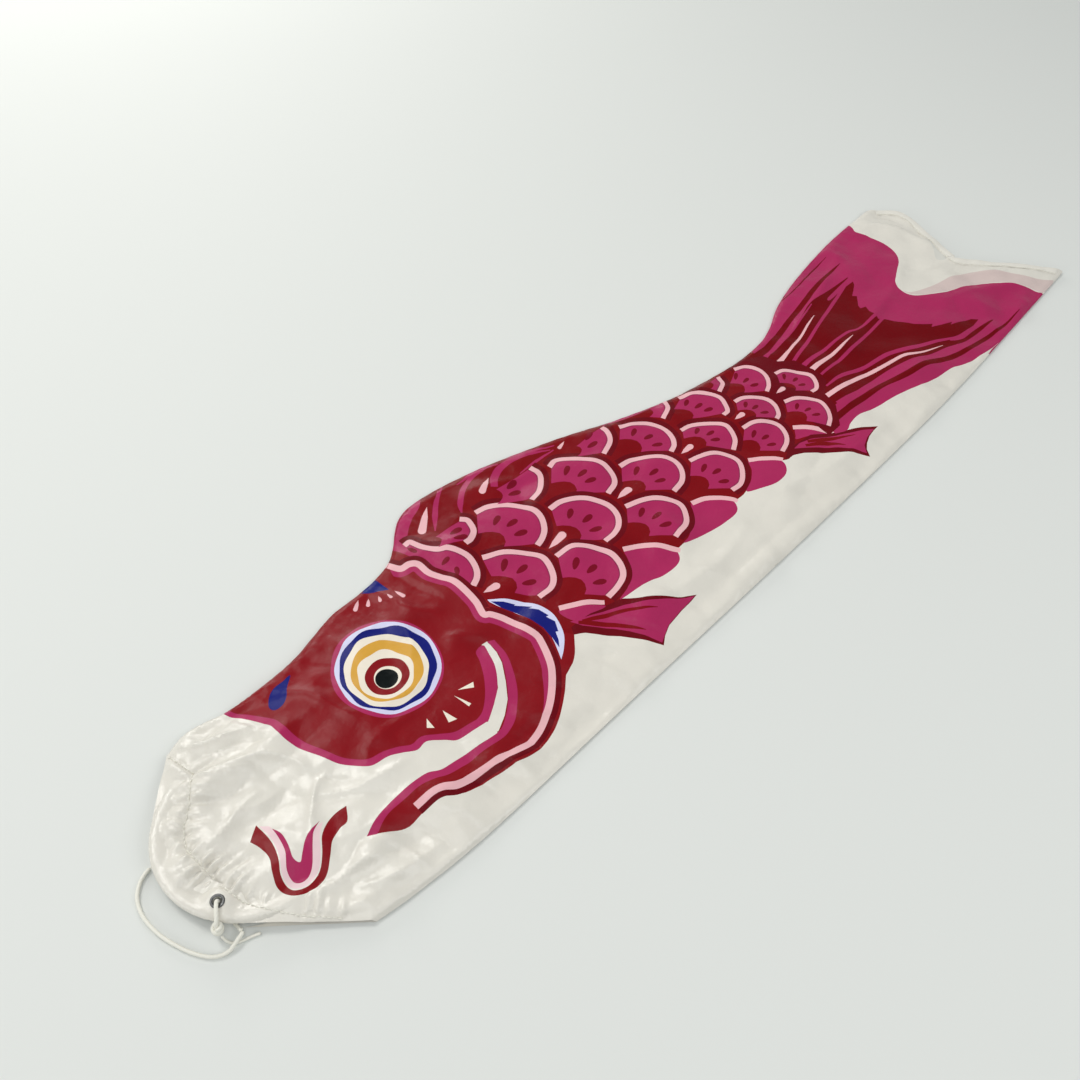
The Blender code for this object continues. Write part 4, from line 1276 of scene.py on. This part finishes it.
def build_cords():
    loop_route = [
        FRONT_PASS, (24, 50.8, 4.0), (20, 49.8, 3.6), (15, 49.3, 2.2), (9.5, 51, 1.6), (3.5, 56, 1.6),
        (-2, 65, 1.6), (-6, 75, 1.6), (-9.5, 87, 1.6), (-11, 99, 1.6), (-10.3, 110, 1.6),
        (-6.5, 120.5, 1.6), (0, 127.5, 1.6), (6, 130.6, 1.6), REAR_PASS]
    lead_front_route = [
        towards(FRONT_PASS, (28.0, 59.0, 2.6), PASS_GAP), (28, 55.5, 3.3), (28, 59, 2.6), (28, 64, 1.8),
        (28, 69, 2.1), (28, 73, 4.0), (28, 75.2, 6.8), (28, 75.7, 9.5)]
    lead_rear_route = [
        towards(REAR_PASS, (24.0, 130.6, 1.6), PASS_GAP), (24, 130.6, 1.6), (40, 129.8, 1.6),
        (60, 129.6, 1.6), (80, 130.3, 1.6), (94, 131.4, 2.0), (104, 132.8, 3.6), (112, 134.4, 6.0),
        (119, 136.4, 8.2), (125, 139, 9.0), (RX - 6.5, RY - 4.1, 8.7), (RX - 3.6, RY - 2.2, 8.0)]
    loop, loop_path, loop_length = twisted_cord("bridle_loop_cord", loop_route, CORD_RADIUS,
                                                "bridle_loop", body="bridle")
    lead, _, _ = twisted_cord("bridle_lead_front_cord", lead_front_route, CORD_RADIUS,
                              "bridle_lead_front")
    rear, rear_path, rear_length = twisted_cord("bridle_lead_rear_cord", lead_rear_route,
                                                CORD_RADIUS, "bridle_lead_rear")

    # the front knot stands on the side of its eyelet that faces the rim
    run = (Vector((17.7, 63.4)) - Vector(FRONT_EYELET)).normalized()
    side = Vector((-run.y, run.x))

    def by_eyelet(along, across, z):
        return (FRONT_EYELET[0] + run.x * along + side.x * across,
                FRONT_EYELET[1] + run.y * along + side.y * across, z)

    hitch = [by_eyelet(*p) for p in (
        (0, 0, 9.0), (0, 0, 12.4), (0.2, 0, 14.6), (1.8, 0, 16.4), (5, 0.2, 17.0), (9.5, 0.6, 16.7),
        (13.6, 0.6, 15.2), (15.6, 0, 12.4), (16.2, 0, 9.8), (16.1, 0, 7.4), (16.0, 0, 5.2))]
    knot, _, _ = twisted_cord("bridle_knot_front_cord", hitch, CORD_RADIUS, "bridle_knot_front",
                              radii=[1.4, 1.4, 1.4, 1.45, 1.5, 1.5, 1.5, 1.6, 1.7, 1.7, 1.3])
    wraps = []
    for i in range(34):
        turn = TURN * 2.3 * i / 33
        wide = 2.5 + 0.5 * math.sin(math.pi * i / 33)
        wraps.append(by_eyelet(15.9 + wide * math.cos(turn), wide * math.sin(turn),
                               12.0 - 6.6 * i / 33 + 0.8 * math.sin(turn)))
    knot_wrap, _, _ = twisted_cord("bridle_knot_front_wraps", wraps, CORD_RADIUS, per_mm=0.5)

    rear_turns = [(RX - 3.0, RY - 1.8, 7.8), (RX - 1, RY - 0.6, 8.6), (RX, RY, 8.8), (RX, RY, 7.4)]
    for i in range(26):
        turn = TURN * 1.7 * i / 25
        rear_turns.append((RX + 1.35 * math.cos(turn), RY + 1.35 * math.sin(turn),
                           7.4 - 1.9 * i / 25))
    rear_turns += [(RX, RY, 4.6), (RX, RY, 2.6), (RX, RY, 1.2)]
    knot_rear, _, _ = twisted_cord("bridle_knot_rear_cord", rear_turns, 1.2, "bridle_knot_rear",
                                   per_mm=0.5)
    tail_route = [(16.9, 59.3, 4.4), (17, 57.6, 2.7), (17.8, 55, 1.4), (20, 51.6, 1.1),
                  (24.5, 49, 1.1), (30, 47, 1.1), (35.6, 44.6, 1.1)]
    tail, _, _ = twisted_cord("bridle_tail_front_cord", tail_route, TAIL_CORD_RADIUS,
                              "bridle_tail_front", radii=[1.0, 1.0, 1.0, 0.95, 0.95, 1.0, 1.1])


build_cords()


# ---- mouth ------------------------------------------------------------------------------
HOOP_PLACE = (Matrix.Translation((*HOOP_CENTRE, HOOP_HEIGHT))
              @ Matrix.Rotation(HOOP_TILT, 4, "Y"))
FERRULE_FROM, FERRULE_SWEEP = math.radians(-28), math.radians(16)


def hoop_tube(name, node, radius_at, steps, sides, look, slot, start=0.0, sweep=TURN):
    """A tube along the hoop whose radius may vary; angle 0 points to the tail."""
    shape = bmesh.new()
    rings = []
    closed = sweep == TURN
    for i in range(steps if closed else steps + 1):
        a = start + sweep * i / steps
        rings.append([])
        for t in (TURN * s / sides for s in range(sides)):
            r = radius_at(a, t)
            out = HOOP_RADIUS + r * math.cos(t)
            p = HOOP_PLACE @ Vector((out * math.cos(a), out * math.sin(a), r * math.sin(t)))
            rings[-1].append(shape.verts.new(place(*p)))
    join_rows(shape, rings + rings[:1] if closed else rings, caps=not closed)
    piece(name, shape, [look], slot, "head", node)


def hem_radius(a, t):
    gather = 0.16 * math.sin(a * 54 + 1.2 * math.sin(a * 9)) + 0.08 * math.sin(a * 97 + 1)
    seam = 0.12 * math.sin(3 * t + a * 5)
    return HEM_RADIUS - 0.12 + gather + seam


def ferrule_radius(a, t):
    """The ferrule's radius, with a crimp on each side and a lip at each end."""
    off = abs(math.degrees(a - FERRULE_FROM - FERRULE_SWEEP / 2))
    crimp = 0.16 * math.exp(-((off - 4.5) / 0.7) ** 2)
    lip = 0.10 * math.exp(-((off - 8.0) / 0.6) ** 2)
    return 2.0 - crimp + lip


hoop_tube("mouth_hem_channel", "mouth_hem", hem_radius, 620, 26, HEM_LOOK, "white_cloth")
hoop_tube("mouth_hoop_rod", "mouth_hoop", lambda a, t: ROD_RADIUS, 240, 14, ROD_LOOK, "hoop_rod")
# the ferrule takes the eyelets' metal, darkened with painted dark reflection
hoop_tube("hoop_ferrule_tube", "hoop_ferrule", ferrule_radius, 60, 20, DARK_REFLECTION_METAL_LOOK, "eyelet_metal",
          FERRULE_FROM, FERRULE_SWEEP)


# ---- side cloths ------------------------------------------------------------------------
REGIONS = raised(print_regions())
POINTS, FACES, MIDDLES, AREAS, COLOURS = plan_mesh(REGIONS)
UPPER = eyelet_seat(POINTS, upper_height(POINTS))
LOWER = lower_height(POINTS)


def cloth_normals(heights):
    """Vertex normals of the whole cloth, so that the cut at SPLIT_X doesn't show."""
    p = np.column_stack([POINTS, heights])
    a, b, c = (p[FACES[:, k]] for k in range(3))
    total = np.zeros_like(p)
    for k in range(3):
        np.add.at(total, FACES[:, k], np.cross(b - a, c - a))
    return total / np.maximum(np.linalg.norm(total, axis=1, keepdims=True), 1e-12)


def skin(name, nodes, mask, heights, face_down, fold):
    """One side cloth's front or rear piece, with its print."""
    used, order = np.unique(FACES[mask], return_inverse=True)
    order = order.reshape(-1, 3)
    mesh = bpy.data.meshes.new(name)
    mesh.from_pydata([place(*POINTS[i], heights[i]) for i in used], [],
                     (order[:, ::-1] if face_down else order).tolist())
    dress(mesh, COLOURS[mask])
    mesh.polygons.foreach_set("use_smooth", [True] * len(mesh.polygons))
    mesh.update()
    turned = cloth_normals(heights)[used] * (-1 if face_down else 1)
    mesh.normals_split_custom_set_from_vertices([tuple(n) for n in turned])
    thing = linked(name, mesh)
    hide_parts(*nodes)
    bend(thing, *fold)


FRONT = MIDDLES[:, 0] < SPLIT_X
IN_HOOP = distance_to(MIDDLES, HOOP_CENTRE) < RIM
BORED = distance_to(MIDDLES, FRONT_EYELET) < EYELET_BORE
skin("side_cloth_upper_front", ["head_panel_upper"], FRONT & ~BORED, UPPER, False, FRONT_FOLD)
skin("side_cloth_upper_rear", ["body_panel_upper", "tail_panel_upper"], ~FRONT, UPPER, False,
     REAR_FOLD)
skin("side_cloth_lower_front", ["head_panel_lower"], FRONT & ~IN_HOOP, LOWER, True, FRONT_FOLD)
skin("side_cloth_lower_rear", ["body_panel_lower", "tail_panel_lower"], ~FRONT, LOWER, True,
     REAR_FOLD)


# ---- seams and hems ---------------------------------------------------------------------
def height_at(points, field):
    """The cloth's height at a few plan points, from the nearest mesh points."""
    out = []
    for p in points:
        away = distance_to(POINTS, p)
        near = np.argsort(away)[:4]
        weight = 1 / (away[near] + 0.3)
        out.append(float((field[near] * weight).sum() / weight.sum()))
    return out


def line_spaced(line, step):
    """The line with each span divided into parts of about one step; all its points stay."""
    out = [line[0]]
    for a, b in zip(line, line[1:]):
        parts = max(1, round((b - a).length / step))
        out.extend(a + (b - a) * k / parts for k in range(1, parts + 1))
    return out


def seam_strip(name, nodes, edge, low, high, inward, fold):
    """The rolled seam at a fold: the two cloths' edges closed over a small ridge, overlocked."""
    line = [p for p in line_spaced(edge, 2.2) if low <= p.x <= high]
    side = [n * inward for n in normals(line)]
    shape = bmesh.new()
    rows = []
    for i, (p, n) in enumerate(zip(line, side)):
        pucker = 0.12 * math.sin(i * 0.9) + 0.08 * math.sin(i * 0.37 + 1)
        profile = [(0.9, 0.55), (0.15, 0.55), (-0.30, 0.85 + pucker), (-0.42, 1.25 + pucker),
                   (-0.15, 1.72 + pucker), (0.6, 1.92 + pucker), (1.5, 1.95), (2.2, 1.6), (1.9, 1.0)]
        rows.append([shape.verts.new(place(p.x + n.x * d, p.y + n.y * d, z)) for d, z in profile])
    join_rows(shape, rows, caps=True)
    mesh = finished_mesh(name, shape)
    # the print just inside the seam, for each face of a row and then for the two caps
    spots = [(p.x + n.x * 3, p.y + n.y * 3) for p, n in zip(line[:-1], side) for _ in rows[0]]
    dress(mesh, painted(np.array(spots + [(line[0].x, line[0].y)] * 2), REGIONS))
    thing = linked(name, mesh)
    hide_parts(*nodes)
    bend(thing, *fold)


seam_strip("back_seam_front", ["head_back_seam"], BACK, 62, SPLIT_X, -1, FRONT_FOLD)
seam_strip("back_seam_rear", ["body_back_seam", "tail_back_seam"], BACK, SPLIT_X, 942, -1,
           REAR_FOLD)
seam_strip("belly_seam_front", ["head_belly_seam"], BELLY, 90, SPLIT_X, 1, FRONT_FOLD)
seam_strip("belly_seam_rear", ["body_belly_seam", "tail_belly_seam"], BELLY, SPLIT_X, 990, 1,
           REAR_FOLD)

# across the tail's hem: distance from the cloth's end, and height above the cloth
TAIL_HEM = [(0.4, 0.20), (2.4, 0.65), (4.4, 0.72), (6.4, 0.60), (8.2, 0.18)]


def off_seams(points):
    """The part of the tail's end that is clear of both seams."""
    return [p for p in points if 3 < p.y < 192]


def tail_hem(name, node, field, lift):
    """The folded hem along the open tail, a narrow second layer with a stitched edge."""
    line = line_spaced(off_seams(TAIL), 2.0)
    shape = bmesh.new()
    rows = []
    for i, (p, n) in enumerate(zip(line, normals(line))):
        spots = [(p.x + n.x * away, p.y + n.y * away) for away, _ in TAIL_HEM]
        rows.append([shape.verts.new(place(*spot, base + lift * (rise + 0.10 * math.sin(i * 0.8))))
                     for spot, base, (_, rise) in zip(spots, height_at(spots, field), TAIL_HEM)])
    join_rows(shape, rows, around=False)
    piece(name, shape, [HEM_LOOK], "white_cloth", "tail", node)


tail_hem("tail_hem_upper_band", "tail_hem_upper", UPPER, 1.0)
tail_hem("tail_hem_lower_band", "tail_hem_lower", LOWER, 0.5)

STITCH_EVERY = 3.4
STITCH_LENGTH = 2.5


def stitches(name, line, body, *nodes, thick=0.42, lift=0.25, jitter=0.0):
    """Single stitches as small raised threads along a line on the upper cloth."""
    spots = line_spaced(line, 0.8)
    heights = height_at(spots, UPPER)
    run = [0.0]
    for p, q in zip(spots, spots[1:]):
        run.append(run[-1] + (q - p).length)

    def at(s):
        i = min(int(np.searchsorted(run, min(max(s, 0.0), run[-1]))), len(run) - 1)
        return Vector((*spots[i], heights[i]))

    shape = bmesh.new()
    for k in range(int(run[-1] / STITCH_EVERY)):
        middle = (k + 0.5) * STITCH_EVERY
        a, b = at(middle - STITCH_LENGTH / 2), at(middle + STITCH_LENGTH / 2)
        if (b - a).length < 0.4:
            continue
        across = Vector((a.y - b.y, b.x - a.x, 0)).normalized()
        off = across * jitter * math.sin(k * 2.3)
        rows = []
        for t in (i / 4 for i in range(5)):
            p = a.lerp(b, t) + off + Vector((0, 0, lift + 0.34 * math.sin(math.pi * t)))
            r = thick * (0.45 + 0.55 * math.sin(math.pi * (0.12 + 0.76 * t)))
            section = (across * r * math.cos(c) + Vector((0, 0, r * math.sin(c)))
                       for c in (TURN * q / 6 for q in range(6)))
            rows.append([shape.verts.new(place(*(p + step))) for step in section])
        join_rows(shape, rows, caps=True)
    piece(name, shape, [THREAD_LOOK], "thread", body, *nodes)


stitches("mouth_hem_stitches", STITCH, "head", "hem_stitching", jitter=0.25)
stitches("mouth_hem_end_stitches", HEM_CREASE[:12], "head")
TAIL_STITCH = [p + n * 7.4 for p, n in zip(TAIL, normals(TAIL)) if off_seams([p])]
stitches("tail_hem_stitches", TAIL_STITCH, "tail", lift=0.75, thick=0.32)


def facing(name, node, start, sweep):
    """The strip of hem inside the channel, lying against the inside of the mouth."""
    shape = bmesh.new()
    rows = []
    steps = 110
    for a in (start + sweep * i / steps for i in range(steps + 1)):
        rows.append([])
        for across in (k / 6 for k in range(7)):
            x, y = on_rim(HOOP_RADIUS - HEM_RADIUS + 0.6 - FACING_WIDTH * across, a)
            pleat = 0.35 * across * math.sin(a * 46 + 2 * math.sin(a * 7))
            rows[-1].append(shape.verts.new(place(x, y, hoop_centre_height(x) + 0.2 + pleat)))
    join_rows(shape, rows, around=False)
    piece(name, shape, [HEM_LOOK], "white_cloth", "head", node)


facing("hem_facing_front_strip", "hem_facing_front", math.radians(100), math.radians(160))
facing("hem_facing_rear_strip", "hem_facing_rear", math.radians(-72), math.radians(144))


# ---- eyelets ----------------------------------------------------------------------------
def eyelet(name, node):
    """A rolled metal eyelet: flared outer flange, rounded throat and a bright inner barrel; the flange's
    metal is darkened with painted dark reflection.
    """
    low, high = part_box(node)
    middle = (low + high) / 2
    half = (high.z - low.z) / 2 / MM
    # the section, as radius and height, from the lower flange round the outside to the barrel
    profile = [(3.0, 0.5 - half), (4.4, 0.15 - half), (4.9, 0.05 - half), (5.0, 0.3 - half),
               (4.4, 0.62 - half), (2.9, 0.7 - half), (2.9, half - 0.75), (4.3, half - 0.68),
               (4.95, half - 0.36), (4.75, half - 0.10), (4.1, half - 0.01), (3.4, half - 0.05),
               (2.85, half - 0.35), (2.55, half - 0.9), (2.45, 0.0), (2.5, 0.9 - half)]
    first_of_barrel = 12
    shape = bmesh.new()
    rows = []
    for a in (TURN * i / 72 for i in range(72)):
        rows.append([shape.verts.new(middle + Vector((r * math.cos(a), r * math.sin(a), z)) * MM)
                     for r, z in profile])
    join_rows(shape, rows + rows[:1])
    for i, face in enumerate(shape.faces):
        # the flange takes the metal darkened with painted dark reflection, the barrel the bright metal
        face.material_index = int(i % len(profile) >= first_of_barrel)
    piece(name, shape, [DARK_REFLECTION_METAL_LOOK, BARREL_LOOK], "eyelet_metal", "head", node)


eyelet("eyelet_front_rolled", "eyelet_front")
eyelet("eyelet_rear_rolled", "eyelet_rear")


# ---- studio -----------------------------------------------------------------------------
def make_floor():
    shape = bmesh.new()
    bmesh.ops.create_grid(shape, x_segments=2, y_segments=2, size=14.0)
    mesh = bpy.data.meshes.new("floor")
    shape.to_mesh(mesh)
    shape.free()
    material, _, _, shader = new_material("floor")
    shader.inputs["Base Color"].default_value = (*FLOOR, 1.0)
    shader.inputs["Roughness"].default_value = 0.75
    shader.inputs["Specular IOR Level"].default_value = 0.2
    mesh.materials.append(material)
    thing = linked("floor", mesh)
    thing.location.z = -0.0002


def area_light(name, where, target, size, power, colour=(1.0, 1.0, 1.0)):
    data = bpy.data.lights.new(name, "AREA")
    data.shape = "RECTANGLE"
    data.size, data.size_y = size
    data.energy = power
    data.color = colour
    lamp = linked(name, data)
    lamp.location = where
    lamp.rotation_euler = (Vector(target) - Vector(where)).to_track_quat("-Z", "Y").to_euler()


def make_world():
    world = bpy.data.worlds.new("studio")
    world.use_nodes = True
    background = world.node_tree.nodes["Background"]
    background.inputs["Color"].default_value = (*SKY, 1.0)
    background.inputs["Strength"].default_value = 0.53
    bpy.context.scene.world = world


make_floor()
area_light("window", (-0.42, 1.25, 1.70), (-0.35, 0.0, 0.0), (0.55, 0.55), 13.0, (1.0, 0.985, 0.95))
area_light("low", (0.55, 1.75, 0.62), (-0.15, 0.0, 0.0), (0.9, 0.5), 10.0, (1.0, 0.985, 0.955))
area_light("ceiling", (-0.9, -0.6, 2.5), (0.0, 0.0, 0.0), (1.6, 1.6), 12.0, (0.98, 0.99, 1.0))
area_light("side", (-1.7, 0.5, 0.55), (-0.3, 0.0, 0.0), (0.6, 0.4), 4.0)
area_light("fill", (0.15, -1.40, 1.15), (0.1, 0.0, 0.0), (1.2, 0.8), 7.0)
make_world()
bpy.context.scene.view_settings.view_transform = "Standard"
